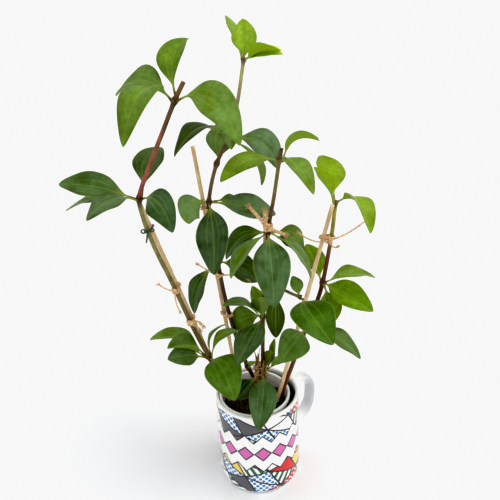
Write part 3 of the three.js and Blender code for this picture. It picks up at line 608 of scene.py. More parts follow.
def leaf_skin():
    """A leaf's colour, roughness and relief from its own coordinates: across from -1 to 1, along from
    0 to 1 and half width in mm, with how young, how grey and how much upper side it is."""
    inputs = sockets(vector="Blade Look Place", value="Tone Veins",
                     colour="Old Young Grey Under Vein Stalk")
    outputs = sockets(colour="Color", value="Roughness Height")

    def fill(b, given):
        across, along, half = b.split(given["Blade"])
        youth, grey, upper = b.split(given["Look"])
        side = b.maths("ABSOLUTE", across)
        off = b.times(side, half)
        broad = b.noise(given["Place"], 55, 2)
        mottle = b.noise(given["Place"], 260, 3, 0.6)
        fine = b.noise(given["Place"], 900, 3, 0.6)
        # the tone scales the body's brightness: partly the leaf's own shade of green, partly painted
        # light and shade
        body = b.bright(b.mix(youth, given["Old"], given["Young"]), given["Tone"])
        # a grey cast in patches over the body, partly the leaf's own and partly painted sheen
        body = b.mix(b.times(grey, b.step(0.15, 0.55, broad)), body, given["Grey"])
        for cloud, low, high in ((broad, 0.79, 1.25), (mottle, 0.84, 1.18), (fine, 0.91, 1.09)):
            spread = {"Value": cloud, "From Min": 0.3, "From Max": 0.7, "To Min": low, "To Max": high}
            body = b.bright(body, b.node("ShaderNodeMapRange", spread).outputs[0])
        # the margins are a little darker than the middle
        body = b.bright(body, b.scaled(b.times(side, side), -0.24, 1.1))

        def line(away, core, glow):
            """A crisp line of half width core, in a fainter one of half width glow, both in mm."""
            crisp = b.rest(b.step(core * 0.5, core * 1.5, away))
            soft = b.times(b.rest(b.step(0.0, glow, away)), 0.3)
            return b.maths("MAXIMUM", crisp, soft)

        # the middle vein fades towards the tip, and two pairs beside it keep their share of the width
        middle = b.times(line(off, 0.5, 2.4), b.scaled(along, -0.6, 1.0))
        ends = b.times(b.step(0.0, 0.12, along), b.rest(b.step(0.3, 0.95, along)))
        pairs = 0.0
        for share, weight in ((0.36, 0.5), (0.68, 0.2)):
            away = b.times(b.maths("ABSOLUTE", b.maths("SUBTRACT", side, share)), half)
            pairs = b.maths("MAXIMUM", pairs, b.times(line(away, 0.4, 1.6), weight))
        veins = b.maths("MAXIMUM", middle, b.times(pairs, ends))
        seen = b.times(veins, given["Veins"])
        pale = b.mix(b.times(youth, 0.6), given["Vein"], given["Young"])
        body = b.mix(seen, body, pale)
        foot = b.rest(b.step(0.0, 0.26, along))
        foot = b.times(foot, b.scaled(veins, 0.75, 0.3), clamp=True)
        body = b.mix(foot, body, given["Stalk"])
        rim = b.times(b.step(0.93, 0.99, side), b.step(0.02, 0.1, along))
        body = b.mix(b.times(rim, 0.45), body, given["Vein"])
        beneath = b.mix(b.times(youth, 0.85), given["Under"], given["Young"])
        beneath = b.mix(b.times(veins, 0.35), beneath, given["Vein"])
        body = b.mix(upper, beneath, body)
        brown = b.mix(youth, tint("#5f4026"), given["Stalk"])
        stalk = b.mix(b.step(-0.5, 0.1, along), brown, given["Stalk"])
        body = b.mix(b.step(-0.02, 0.02, along), stalk, body)
        roughness = b.plus(0.26, b.times(mottle, 0.22))
        roughness = b.plus(roughness, b.times(b.rest(upper), 0.2))
        # the blade swells between its sunken veins and is finely pebbled
        swell = b.maths("ABSOLUTE", b.maths("SINE", b.times(side, np.pi * 2.94)))
        swell = b.times(b.times(swell, ends), 0.4)
        height = b.scaled(mottle, 0.7, b.scaled(fine, 0.14, swell))
        height = b.maths("SUBTRACT", height, b.times(veins, 0.5))
        return {"Color": body, "Roughness": roughness, "Height": height}

    return group("leaf skin", inputs, outputs, fill)


def fibres():
    """Long fibres along a piece: noise drawn out along v of its own coordinates, which are in mm."""
    inputs = sockets(vector="Place", colour="Light Dark", value="Fineness Length")
    outputs = sockets(colour="Color", value="Height")

    def fill(b, given):
        x, y, _ = b.split(given["Place"])
        vector = b.vector(b.times(x, given["Fineness"]), b.maths("DIVIDE", y, given["Length"]))
        strands = b.noise(vector, 1.0, 4, 0.65)
        cloudy = b.noise(b.bright(given["Place"], 0.08), 1.0, 2)
        share = b.step(0.32, 0.68, b.scaled(cloudy, 0.5, b.times(strands, 0.5)))
        return {"Color": b.mix(share, given["Dark"], given["Light"]), "Height": strands}

    return group("long fibres", inputs, outputs, fill)


def patchwork():
    """The print: outlined shards of dots, hatching, stripes and plain colour, and a white band between
    zigzag lines with a row of diamonds. Place is the distance round the mug and the height, in mm."""
    inputs = sockets(vector="Place", value="Patch Outline",
                     colour="White Ink Slate Pink Red Blue Green Yellow")
    outputs = sockets(colour="Color")

    def fill(b, given):
        u, v, _ = b.split(given["Place"])
        # two families of slanting lines and the diagonals between them cut the ground into shards
        slants = [b.maths("DIVIDE", b.scaled(u, x, b.times(v, y)), given["Patch"])
                  for x, y in ((0.88, 0.47), (-0.3, 0.95))]
        inside = [b.maths("FRACT", slant) for slant in slants]
        cross = b.maths("SUBTRACT", b.plus(*inside), 1.0)
        cell = b.vector(*(b.maths("FLOOR", slant) for slant in slants), b.above(cross, 0.0))
        chance = b.node("ShaderNodeTexWhiteNoise", {"Vector": cell}, noise_dimensions="3D").outputs
        pick, (_, lean, _) = chance["Value"], b.split(chance["Color"])
        border = b.times(b.maths("ABSOLUTE", cross), 0.7)
        for within in inside:
            border = b.maths("MINIMUM", border, b.maths("PINGPONG", within, 0.5))
        border = b.times(border, given["Patch"])

        def bands(period, share, angle):
            """1 on stripes of the given period, each a share of it wide, at an angle in turns."""
            turn = b.times(angle, TURN)
            along = b.plus(b.times(u, b.maths("COSINE", turn)), b.times(v, b.maths("SINE", turn)))
            return b.below(b.maths("FRACT", b.maths("DIVIDE", along, period)), share)

        def dots(period, radius):
            """1 inside round dots on a square grid that stands on its corner."""
            away = []
            for way in (b.plus(u, v), b.maths("SUBTRACT", u, v)):
                place = b.maths("FRACT", b.maths("DIVIDE", way, period * 2 ** 0.5))
                away.append(b.maths("POWER", b.maths("SUBTRACT", place, 0.5), 2.0))
            return b.below(b.maths("SQRT", b.plus(*away)), radius / period)

        slate = b.mix(bands(0.9, 0.35, 0.12), given["Slate"], b.bright(given["Slate"], 0.7))
        fills = [
            (0.20, given["White"]),
            (0.40, slate),
            (0.54, b.mix(dots(4.4, 1.3), given["Red"], given["White"])),
            (0.68, b.mix(dots(4.2, 1.6), given["White"], given["Blue"])),
            (0.82, b.mix(bands(6.5, 0.5, lean), given["Green"], given["White"])),
            (0.92, given["Yellow"]),
        ]
        colour = given["Red"]
        for limit, shown in reversed(fills):
            colour = b.mix(b.below(pick, limit), colour, shown)
        colour = b.mix(b.below(border, given["Outline"]), colour, given["Ink"])
        # the white band runs round the mug between spikes, with a row of pink diamonds in it
        level = b.maths("ABSOLUTE", b.maths("SUBTRACT", v, PRINT["band"]))
        spiked = b.plus(level, b.maths("PINGPONG", u, PRINT["spike"]))
        for reach, shown in ((22.5, "Ink"), (20.8, "White"), (8.8, "Ink"), (7.0, "Pink")):
            colour = b.mix(b.below(spiked, reach), colour, given[shown])
        return {"Color": colour}

    return group("patchwork print", inputs, outputs, fill)


# Settings

def tinted(name, code, description):
    """A colour setting, from its hex code."""
    return bpy.props.FloatVectorProperty(name=name, description=description, default=tint(code),
                                         subtype="COLOR", size=3, min=0.0, max=1.0)


def measured(name, millimetres, description):
    """A length setting, given in millimetres and kept in metres."""
    return bpy.props.FloatProperty(name=name, description=description, default=millimetres * MM,
                                   min=0.0, unit="LENGTH", subtype="DISTANCE", precision=5)


def fraction(name, value, description):
    """A setting from 0 to 1."""
    return bpy.props.FloatProperty(name=name, description=description, default=value, min=0.0, max=1.0,
                                   subtype="FACTOR")


def number(name, value, description, low=0.0, high=10.0, **settings):
    """A plain number between two limits."""
    return bpy.props.FloatProperty(name=name, description=description, default=value, min=low, max=high,
                                   **settings)


def counted(name, value, description):
    """A setting that counts things."""
    return bpy.props.IntProperty(name=name, description=description, default=value, min=0, max=4000)


class MugSettings(bpy.types.PropertyGroup):
    """Glaze, print and handle of the mug."""
    glaze: tinted("Glaze", "#f9f8f7", "Colour of the glaze")
    ink: tinted("Ink", "#1c1a20", "Colour of the print's outlines")
    slate: tinted("Slate", "#66666d", "Colour of the hatched patches")
    pink: tinted("Pink", "#d873b6", "Colour of the diamonds")
    red: tinted("Red", "#dc1f29", "Colour of the patches with white dots")
    blue: tinted("Blue", "#2f86c6", "Colour of the dots on white")
    green: tinted("Green", "#27673d", "Colour of the stripes")
    yellow: tinted("Yellow", "#efd968", "Colour of the plain patches")
    patch: measured("Patch", 24.0, "Size of one patch of the print")
    outline: measured("Outline", 0.8, "Half the width of the print's outlines")
    handle_width: measured("Handle width", 12.5, "Width of the handle's bar")
    handle_depth: measured("Handle depth", 8.0, "Depth of the handle's bar")


class PlantSettings(bpy.types.PropertyGroup):
    """Colours and thickness of leaves, and of what they grow in."""
    old: tinted("Old leaf", "#3d5a12", "Upper side of a full-grown leaf")
    young: tinted("Young leaf", "#a2bf22", "Upper side of a new leaf")
    # the grey cast is partly the leaf's own and partly painted sheen
    grey: tinted("Grey leaf", "#6f8a6c", "Cast of an old leaf's upper side")
    under: tinted("Underside", "#7d9650", "Lower side of a full-grown leaf")
    vein: tinted("Vein", "#93ad5c", "Veins of a full-grown leaf")
    stalk: tinted("Leaf stalk", "#a3ad58", "Leaf stalks and the foot of each blade")
    veins: fraction("Vein strength", 0.55, "How clearly the veins show")
    thickness: measured("Leaf thickness", 0.85, "Thickness of a blade half way out")
    soil: tinted("Soil", "#4c473f", "Colour of damp potting mix")
    crumbs: counted("Crumbs", 900, "Loose crumbs on the soil")


class TieSettings(bpy.types.PropertyGroup):
    """Stakes, twine and wire."""
    bamboo_light: tinted("Bamboo, light", "#f8e0ba", "Light fibres of the stakes")
    bamboo_dark: tinted("Bamboo, dark", "#d8ad7c", "Dark fibres of the stakes")
    twine_light: tinted("Twine, light", "#f2d3a8", "Light fibres of the twine")
    twine_dark: tinted("Twine, dark", "#c39a6c", "Dark fibres of the twine")
    wire: tinted("Wire", "#41544a", "Coating of the wire tie")
    cord: measured("Twine radius", 0.8, "Radius of the twine")
    hairs: counted("Hairs", 46, "Loose fibres on each tie")


class StageSettings(bpy.types.PropertyGroup):
    """Floor, lights and camera."""
    floor: tinted("Floor", "#eff0f2", "Colour of the paper sweep")
    ambient: number("Ambient", 0.8, "Strength of the light all round")
    key: number("Key", 1.3, "Strength of the main light")
    contrast: number("Contrast", 1.2, "How much middle tones are darkened", 0.5, 2.0)
    black: number("Black", 0.025, "Light that is shown as black", 0.0, 0.2, precision=4)
    white: fraction("White", 0.945, "How bright the brightest light is shown")
    lens: number("Lens", 34.56, "Focal length on a 36 mm sensor", 1.0, 500.0, unit="CAMERA")


# Mug, pot and soil

def cup_part():
    """The cup's outline of radius and height, softened at its corners and turned round the axis."""
    r, top, floor = CUP["radius"], CUP["height"], CUP["floor"]
    inner = r - CUP["wall"]
    outline = softened([
        (6, 1.5), (31.4, 1.5), (32.2, 0), (36.2, 0), (39.8, 1.6), (r, 7.5), (r, 40), (r, top - 4),
        (r, top), (inner, top), (inner, top - 4), (inner, floor), (6, floor)], 2.6, 9)
    outer = np.where((outline[:, 0] > inner + 1.2) & (outline[:, 1] > 2.0), 1.0, 0.0)
    glazed = ease(0.15, 0.9, outline[:, 1])
    # the third value is the handle's painted shade, nought on the cup
    face = np.stack([outer, glazed, outer * 0], -1)[:, None]
    return skin(turned(outline, 160), uv_size=(TURN * r, 1.0), uv_rows=outline[:, 1], face=face)


def handle_part(width, depth):
    """A bar of rounded-rectangle section, cos and sin to the power 0.8, along a C in the upright plane
    of the handle, and flared like a bell where it meets the wall."""
    out, side = directions(np.radians(HANDLE_AZIMUTH))
    reach, high, low = HANDLE["reach"], HANDLE["high"], HANDLE["low"]
    root = CUP["radius"] - HANDLE["sunk"]
    route = np.array([
        (root, high - 2), (52, high), (64, high - 3), (reach - 1, high - 14), (reach, 56),
        (reach - 3, 42), (61, low + 3), (50, low), (root, low)])
    route = route[:, :1] * out + route[:, 1:] * UP
    line, ahead = smooth_line(route, np.linspace(0, 1, HANDLE["rings"]))
    flare = 1 + 0.32 * hump(line @ out - root, 4.0)
    angle = round_angles(HANDLE["sides"])
    x = squarish(np.cos(angle), 0.8) * width / 2
    y = squarish(np.sin(angle), 0.8) * depth / 2
    over = np.cross(ahead, side)
    points = line[:, None] + flare[:, None, None] * (side * x[:, None] + over[:, None] * y[:, None])
    # painted shade: the outer part of the bar is marked, for the glaze to be greyed there
    painted_handle_shade = ease(52, 70, points @ out)
    return skin(points, face=np.stack([0 * painted_handle_shade, 1 + 0 * painted_handle_shade, painted_handle_shade], -1))


class PEPEROMIA_OT_mug(bpy.types.Operator):
    """Build the glazed mug with its print and handle"""
    bl_idname = "peperomia.mug"
    bl_label = "Mug"

    def execute(self, context):
        given = context.scene.peperomia_mug
        glaze, b = material("mug_glaze")
        # outside, glazed, and the handle's painted shade
        outer, glazed, painted_handle_shade = b.split(b.attribute("face"))
        u, v, _ = b.split(b.uv())
        inks = {name.title(): getattr(given, name)
                for name in ("ink", "slate", "pink", "red", "blue", "green", "yellow")}
        pattern = b.grown(patchwork(), Place=b.vector(u, v), Patch=given.patch / MM,
                          Outline=given.outline / MM, White=given.glaze, **inks)["Color"]
        # the print goes round from one side of the handle to the other, and up to the rim
        printed = b.above(outer, 0.5)
        for value, (low, high) in ((u, PRINT["round"]), (v, PRINT["up"])):
            printed = b.times(printed, b.times(b.above(value, low), b.below(value, high)))
        place = b.place()
        # the second colour is painted shade for the inner wall, the third painted shade for the handle
        bare, painted_depth_shade, painted_handle_shade_colour = tint("#d9d2c6"), tint("#4a4b44"), tint("#c6c9cc")
        clay = b.mix(glazed, bare, given.glaze)
        # painted shade: the inner wall is darker with depth between mug and pot
        depth = b.times(b.rest(outer), b.rest(b.step(86.0, 94.0, v)))
        depth = b.times(depth, b.above(v, 2.0))
        clay = b.mix(b.times(depth, 0.9), clay, painted_depth_shade)
        # painted shade: the outer part of the handle is greyer
        clay = b.mix(painted_handle_shade, clay, painted_handle_shade_colour)
        colour = b.mix(printed, clay, pattern)
        waves = b.noise(place, 45, 2)
        pits = b.noise(place, 900, 2)
        roughness = b.plus(b.mix(glazed, (0.6,) * 3, (0.1,) * 3), b.times(pits, 0.06))
        height = b.plus(waves, b.times(b.rest(glazed), pits))
        b.shade(colour, roughness, height, relief=0.0003, strength=0.25, Coat_Weight=0.35,
                Coat_Roughness=0.06)
        parts = [cup_part(), handle_part(given.handle_width / MM, given.handle_depth / MM)]
        make("glazed_mug", parts, glaze, ("mug",), crease=60)
        return {"FINISHED"}


def pot_radius(z):
    """The tapered pot's radius outside, which grows in proportion to height."""
    upper = POT["rim"] - POT["lip"]
    return POT["foot"] + (upper - POT["foot"]) * (z - POT["bottom"]) / (POT["top"] - POT["bottom"])


class PEPEROMIA_OT_pot(bpy.types.Operator):
    """Build the thin nursery pot with its rolled lip"""
    bl_idname = "peperomia.pot"
    bl_label = "Nursery pot"

    def execute(self, context):
        top, bottom, wall, rim = POT["top"], POT["bottom"], POT["wall"], POT["rim"]
        under = top - 5
        outline = softened([
            (4, bottom), (pot_radius(bottom), bottom), (pot_radius(under), under), (rim, under + 0.8),
            (rim, top), (rim - POT["lip"] - 0.6, top), (pot_radius(under) - wall, under),
            (pot_radius(bottom) - wall, bottom + wall), (4, bottom + wall)], 1.1, 7)
        points = turned(outline, 144) + np.append(POT_CENTRE, 0)
        plastic, b = material("pot_plastic")
        place = b.place()
        _, _, z = b.split(place)
        specks = b.noise(place, 700, 3, 0.6)
        stain = b.times(b.rest(b.step(0.0825, 0.09, z)), b.step(0.4, 0.62, b.noise(place, 260, 3)))
        wall_white, painted_lip_light, dirt = tint("#e2e3e3"), tint("#fbfcfc"), tint("#5a4a3c")
        # painted light: the rolled lip is whiter than the rest of the plastic
        plastic_with_painted_lip = b.mix(b.step(0.0915, 0.0935, z), wall_white, painted_lip_light)
        colour = b.mix(b.times(stain, 0.55), plastic_with_painted_lip, dirt)
        roughness = b.plus(0.3, b.times(specks, 0.18))
        b.shade(colour, roughness, specks, relief=0.00008, strength=0.5)
        make("lipped_pot", [skin(points)], plastic, ("nursery_pot",), crease=50)
        return {"FINISHED"}


def soil_parts(count):
    """A plug whose top is a disc of rings, lifted by a few sizes of sine lumps, with crumbs and
    splinters scattered over it."""
    reach, foot = (pot_radius(SOIL[end]) - POT["wall"] - SOIL["gap"] for end in ("top", "bottom"))
    away = reach * np.linspace(0.02, 1, SOIL["rings"])[:, None]
    angle = round_angles(SOIL["sides"])[None]
    flat = np.stack([away * np.cos(angle), away * np.sin(angle)], -1)

    def ground(places):
        """The soil's height: coarse, middling and fine lumps on a level."""
        lifted = 0.8 * lumps(places, (23, 17, 13), 3) + 0.7 * lumps(places, (6, 5, 4, 3.2), 4)
        return SOIL["top"] + lifted + 0.35 * lumps(places, (1.9, 1.5, 1.2), 5)

    lid = np.dstack([flat, ground(flat)])
    bottom = np.full(angle.shape, SOIL["bottom"])
    wall = np.dstack([foot * np.cos(angle), foot * np.sin(angle), bottom])
    centre = np.append(POT_CENTRE, 0)
    parts = [skin(np.concatenate([lid, wall]) + centre, look=np.full(3, 0.35))]
    draw = np.random.default_rng(SEEDS["crumb_places"])
    # crumbs, long splinters and a few pale grains: how many, length, thickness and paleness
    for kind, (number, long, thick, pale) in enumerate((
            (count, 0.95, 0.7, 0.4), (count // 9, 1.9, 0.35, 1.0), (count // 30, 0.8, 0.7, 1.8))):
        away = reach * 0.985 * np.sqrt(draw.uniform(0, 1, number))
        turn = draw.uniform(0, TURN, number)
        places = np.stack([away * np.cos(turn), away * np.sin(turn)], -1)
        size = draw.uniform(0.35, 1.0, (number, 1)) * np.array([long, thick, thick])
        spots = np.dstack([places[None], ground(places)[None, :, None] + 0.25])[0] + centre
        tones = np.repeat(draw.uniform(0.3, 1.0, (number, 1)) * pale, 3, axis=1)
        parts.append(scattered(spots, size, SEEDS["crumbs"] + kind, look=tones))
    return parts


class PEPEROMIA_OT_soil(bpy.types.Operator):
    """Build the potting mix and its crumbs"""
    bl_idname = "peperomia.soil"
    bl_label = "Potting mix"

    def execute(self, context):
        given = context.scene.peperomia_plant
        mix, b = material("potting_soil")
        pale, _, _ = b.split(b.attribute("look"))
        place = b.place()
        grains = b.noise(place, 1100, 4, 0.7)
        straw = tint("#a5835a")
        colour = b.mix(b.step(0.7, 1.4, pale), given.soil, straw)
        factor = b.times(b.plus(pale, 0.5), b.plus(grains, 0.6))
        b.shade(b.bright(colour, factor), 0.85, grains, relief=0.0006, strength=0.9)
        make("crumbly_soil", soil_parts(given.crumbs), mix, ("soil",))
        return {"FINISHED"}


# Stems and stakes

def stem_line(name, count):
    """Shares, points and ways ahead of a stem's line."""
    shares = np.linspace(0, 1, count)
    return shares, *smooth_line(STEMS[name][1], shares)


def stem_part(name):
    """A round tube, thinner with height, that swells like a bell at each node, with shallow ridges."""
    (low, high), route = STEMS[name]
    shares, line, ahead = stem_line(name, 24 * (len(route) - 1))
    radius = low + (high - low) * shares
    tones = STEM_TONES[name]
    levels = np.array([height for height, _ in tones], float)
    colours = np.array([tint(code) for _, code in tones])
    colour = np.stack([np.interp(line[:, 2], levels, colours[:, k]) for k in range(3)], -1)
    dark = np.zeros(len(line))
    for stem, point, _ in WHORLS.values():
        if stem == name:
            joint = hump(np.linalg.norm(line - np.array(route[point], float), axis=1), 2.8)
            radius = radius + 1.15 * joint
            dark = np.maximum(dark, joint)
    colour = colour * (1 - 0.45 * dark[:, None])
    sides = 24
    angle, twist = round_angles(sides)[None], shares[:, None]
    ridge = 1 + 0.03 * np.sin(5 * angle + 9 * twist) + 0.02 * np.sin(3 * angle - 14 * twist)
    reference = UP if name == "twig" else BACK
    points = rings(line, ahead, reference, radius[:, None] * ridge, sides)
    length = np.linalg.norm(np.diff(line, axis=0), axis=1).sum()
    return skin(points, uv_size=(TURN * low, length), bark=colour[:, None])


class PEPEROMIA_OT_stems(bpy.types.Operator):
    """Build the four stems and the twig"""
    bl_idname = "peperomia.stems"
    bl_label = "Stems"

    def execute(self, context):
        bark, b = material("stem")
        strands = b.grown(fibres(), Place=b.uv(), Light=(1.0,) * 3, Dark=(0.55,) * 3, Fineness=1.6,
                          Length=5.0)
        place = b.place()
        blotch = b.step(0.35, 0.7, b.noise(place, 160, 4, 0.65))
        colour = b.mix(0.8, b.attribute("bark"), strands["Color"], blend="MULTIPLY")
        colour = b.bright(colour, b.scaled(blotch, 0.45, 0.85))
        scars = b.noise(place, 1400, 2)
        height = b.plus(strands["Height"], b.times(scars, 0.4))
        b.shade(colour, b.scaled(scars, 0.2, 0.36), height, relief=0.00025, strength=0.6)
        for name, grown in (("left", ()), ("middle", ()), ("centre", ("twig",)), ("right", ())):
            parts = [stem_part(piece) for piece in (name, *grown)]
            make(f"{name}_stem", parts, bark, (f"stem_{name}",))
        return {"FINISHED"}


def stake_part(name, seed):
    """A strip of split cane: a section with a round skin side and a flatter split side, along a
    straight line, with slow changes of width, one low ring at a joint and a cut, slightly ragged
    top."""
    low, high = (np.array(end, float) for end in STAKES[name])
    rows, sides = 150, 28
    shares = np.linspace(0, 1, rows)
    line = low + (high - low) * shares[:, None]
    ahead = np.broadcast_to(unit(high - low), line.shape)
    length = np.linalg.norm(high - low)
    across = unit(np.cross(BACK, ahead))
    over = np.cross(ahead, across)
    angle = round_angles(sides)
    draw = np.random.default_rng(seed)
    phase = draw.uniform(0, TURN, 4)
    travelled = shares * length
    wide = 1 + 0.04 * np.sin(travelled / 17 + phase[0]) + 0.02 * np.sin(travelled / 5 + phase[1])
    joint = 0.16 * hump(travelled - length * draw.uniform(0.62, 0.8), 1.4)
    x = squarish(np.cos(angle), 0.6) * STAKE_SIZE[0] / 2
    y = squarish(np.sin(angle), np.where(np.sin(angle) > 0, 0.75, 0.5)) * STAKE_SIZE[1] / 2
    nick = 1 + 0.035 * np.sin(7 * angle[None] + phase[2] + 0.03 * travelled[:, None])
    scale = (wide + joint)[:, None] * nick
    points = (line[:, None] + across[:, None] * (x * scale)[..., None]
              + over[:, None] * (y * scale)[..., None])
    ragged = 0.5 * np.sin(3 * angle + phase[3]) + 0.35 * np.sin(8 * angle + phase[1])
    points[-1] += ahead[-1] * ragged[:, None]
    return skin(points, uv_size=(10.0, length))


class PEPEROMIA_OT_stakes(bpy.types.Operator):
    """Build the four split bamboo stakes"""
    bl_idname = "peperomia.stakes"
    bl_label = "Stakes"

    def execute(self, context):
        given = context.scene.peperomia_ties
        cane, b = material("bamboo")
        strands = b.grown(fibres(), Place=b.uv(), Light=given.bamboo_light,
                          Dark=given.bamboo_dark, Fineness=2.2, Length=26.0)
        place = b.place()
        stain = b.step(0.52, 0.75, b.noise(b.stretched(place, (1.0, 1.0, 0.25)), 120, 3))
        weathered = tint("#a88257")
        colour = b.mix(b.times(stain, 0.45), strands["Color"], weathered)
        b.shade(colour, b.scaled(strands["Height"], 0.3, 0.4), strands["Height"],
                relief=0.00025, strength=0.7)
        for seed, name in enumerate(STAKES, SEEDS["stakes"]):
            make(f"{name}_stake", [stake_part(name, seed)], cane, (f"stake_{name}",),
                 crease=45)
        return {"FINISHED"}


# Leaves

def leaf_part(node, row, thickness, seed):
    """One leaf, as a closed section carried along its midrib.

    The midrib is a parabola from beside the stem to the tip, bowed upwards and swayed sideways. The
    section is a circle on the stalk and a thin lens on the blade. Half the blade's width is
    w/2 * sin(pi s)^(1.45 - 0.75 s), its halves fold up in a V that is rounded over, puffed between
    the veins and waved at the margin, and a keel runs under the midrib."""
    azimuth, rise, reach, width, bow, sway, roll, twist, fold, petiole, youth, grey, tone = row
    azimuth, rise, fold = np.radians([azimuth, rise, fold])
    draw = np.random.default_rng(seed)
    out, side = directions(azimuth)
    tip = node + reach * (np.cos(rise) * out + np.sin(rise) * UP)
    start = node + LEAF["start"] * out
    length = np.linalg.norm(tip - start)
    forward = (tip - start) / length
    face = unit(np.cross(forward, side))
    level = np.cross(face, forward)
    stalk_share = 0.8 * petiole / length
    blade = 0.5 - 0.5 * np.cos(np.pi * np.linspace(0, 1, LEAF["blade_rows"]))
    stalk = np.linspace(-1, 0, LEAF["stalk_rows"] + 1)[:-1]
    sunk = LEAF["sunk"] / length
    t = np.concatenate([(1 + stalk) * (stalk_share + sunk) - sunk,
                        stalk_share + (1 - stalk_share) * blade])[:, None]
    s = np.concatenate([stalk, blade])[:, None]
    swell = 4 * length * t * (1 - t)
    slope = 4 * (1 - 2 * t)
    line = start + forward * length * t + face * bow * swell + level * sway * swell
    way = unit(forward + face * bow * slope + level * sway * slope)
    normal = unit(face - way * (way @ face)[:, None])
    across = np.cross(way, normal)
    turn = np.radians(roll + twist * (t - 0.5))
    across, normal = (across * np.cos(turn) + normal * np.sin(turn),
                      normal * np.cos(turn) - across * np.sin(turn))
    angle = round_angles(LEAF["sides"])[None]
    a, lift = np.cos(angle), np.sin(angle)
    inside = np.clip(s, 0, 1)
    on_blade = ease(0.0, 0.1, s)
    half = width / 2 * np.sin(np.pi * inside) ** (1.45 - 0.75 * inside)
    stalk_half = 1.35 - 0.45 * ease(-1, -0.2, s) - 0.85 * ease(0.9, 1.0, s)
    half = np.sqrt(half ** 2 + (stalk_half * (1 - 0.9 * ease(0.05, 0.3, s))) ** 2)
    flat = ease(-0.3, 0.16, s)
    thick = (1 - flat) + flat * thickness / 2
    thick = np.minimum(thick, np.maximum(0.75 * half, 0.1)) * (1 - 0.25 * a ** 2 * on_blade)
    off = half * a
    rounded = np.sqrt(a ** 2 + 0.004) - np.sqrt(0.004)
    height = half * rounded * np.sin(fold) * on_blade
    height += on_blade * half * 0.07 * np.sin(np.pi * np.abs(a))
    beat, phase = draw.uniform(1.6, 2.6), draw.uniform(0, TURN, 2)
    height += on_blade * 0.035 * half * np.abs(a) ** 3 * np.sin(
        TURN * beat * s + np.where(a > 0, phase[0], phase[1]))
    keel = -0.55 * hump(off, 1.5) * np.sqrt(1 - inside)
    height += np.where(lift > 0, -0.2 * hump(off, 0.9), keel) * on_blade
    height += lift * thick - thickness / 2
    points = line[:, None] + across[:, None] * (off * np.cos(fold * on_blade))[..., None]
    points = points + normal[:, None] * height[..., None]
    ones = np.ones_like(off)
    upper = ease(-0.25, 0.15, lift)
    return skin(points, blade=np.stack([a * ones, s * ones, half * ones], -1),
                look=np.stack([youth * ones, grey * ones, upper * ones], -1),
                tone=np.full(3, float(tone)))


class PEPEROMIA_OT_leaves(bpy.types.Operator):
    """Build every whorl of leaves"""
    bl_idname = "peperomia.leaves"
    bl_label = "Leaves"

    def execute(self, context):
        given = context.scene.peperomia_plant
        skins = {}
        for slot, veins in (("leaf", given.veins), ("leaf_young", given.veins * 0.75)):
            skins[slot], b = material(slot)
            # each leaf's tone: partly its own shade of green, partly painted light and shade
            tone, _, _ = b.split(b.attribute("tone"))
            colours = {name.title(): getattr(given, name)
                       for name in ("old", "young", "grey", "under", "vein", "stalk")}
            look = b.grown(leaf_skin(), Blade=b.attribute("blade"), Look=b.attribute("look"),
                           Tone=tone, Place=b.place(), Veins=veins, **colours)
            b.shade(look["Color"], look["Roughness"], look["Height"], relief=0.0006, strength=0.6,
                    Specular_IOR_Level=0.17)
        seed = SEEDS["leaves"]
        for name, (stem, point, rows) in WHORLS.items():
            node = np.array(STEMS[stem][1][point], float)
            parts = [leaf_part(node, row, given.thickness / MM, seed + k)
                     for k, row in enumerate(rows, 1)]
            seed += len(rows)
            slot = "leaf_young" if name in YOUNG_WHORLS else "leaf"
            make(f"{name}_grown", parts, skins[slot], (name,))
        return {"FINISHED"}


# Ties

def cord_part(points, radius, reference, pitch=4.2, depth=0.26, taper=0.0):
    """A two-ply cord: a tube whose radius is largest on two opposite sides, 1 - depth + depth * |cos|,
    with that pair of sides turning once in two pitches along the line."""
    line, ahead, travelled = evenly(points, CORD["spacing"])
    angle = round_angles(CORD["sides"])[None]
    lobes = 1 - depth + depth * np.abs(np.cos(angle - np.pi * travelled[:, None] / pitch))
    narrow = 1 - taper * (travelled / travelled[-1])[:, None]
    points = rings(line, ahead, reference, radius * lobes * narrow, CORD["sides"])
    return skin(points, uv_size=(6 * radius, travelled[-1]))


def curved(start, bend, end, count=24):
    """A quadratic curve from start towards bend and on to end."""
    t = np.linspace(0, 1, count)[:, None]
    return (1 - t) ** 2 * start + 2 * t * (1 - t) * bend + t ** 2 * end


def loose_end(knot, bend, tip):
    """The curve of a tie's loose end, from its knot."""
    return curved(knot, knot + np.array(bend, float), knot + np.array(tip, float))


def hair_parts(places, ways, lengths, radius, draw, droop=0.25):
    """Loose fibres: thin tapering three-sided tubes that leave each place along its way and droop."""
    parts = []
    for place, way, length in zip(places, ways, lengths):
        bend = place + way * length * 0.5 + draw.normal(0, 0.1, 3) * length
        end = place + way * length + draw.normal(0, 0.16, 3) * length - UP * droop * length
        line = curved(place, bend, end, 6)
        ahead = unit(np.gradient(line, axis=0))
        reference = unit(np.cross(way, draw.normal(size=3)))
        thin = radius * np.linspace(1, 0.35, 6)
        parts.append(skin(rings(line, ahead, reference, thin, 3), uv_size=(1.0, length)))
    return parts


def tie_place(tie):
    """Where a tie holds its stem: the stem's point and way ahead, the stake's point, and the knot."""
    stem, height, _, size = tie[:4]
    _, line, ahead = stem_line(stem, 1200)
    index = np.argmin(np.abs(line[:, 2] - height))
    stem_at = line[index]
    low, high = (np.array(end, float) for end in STAKES[stem])
    stake_at = low + (high - low) * (height - low[2]) / (high[2] - low[2])
    knot = (stem_at + stake_at) / 2
    knot[1] = min(stem_at[1], stake_at[1]) - 2.5 - 0.8 * size
    return stem_at, ahead[index], stake_at, knot


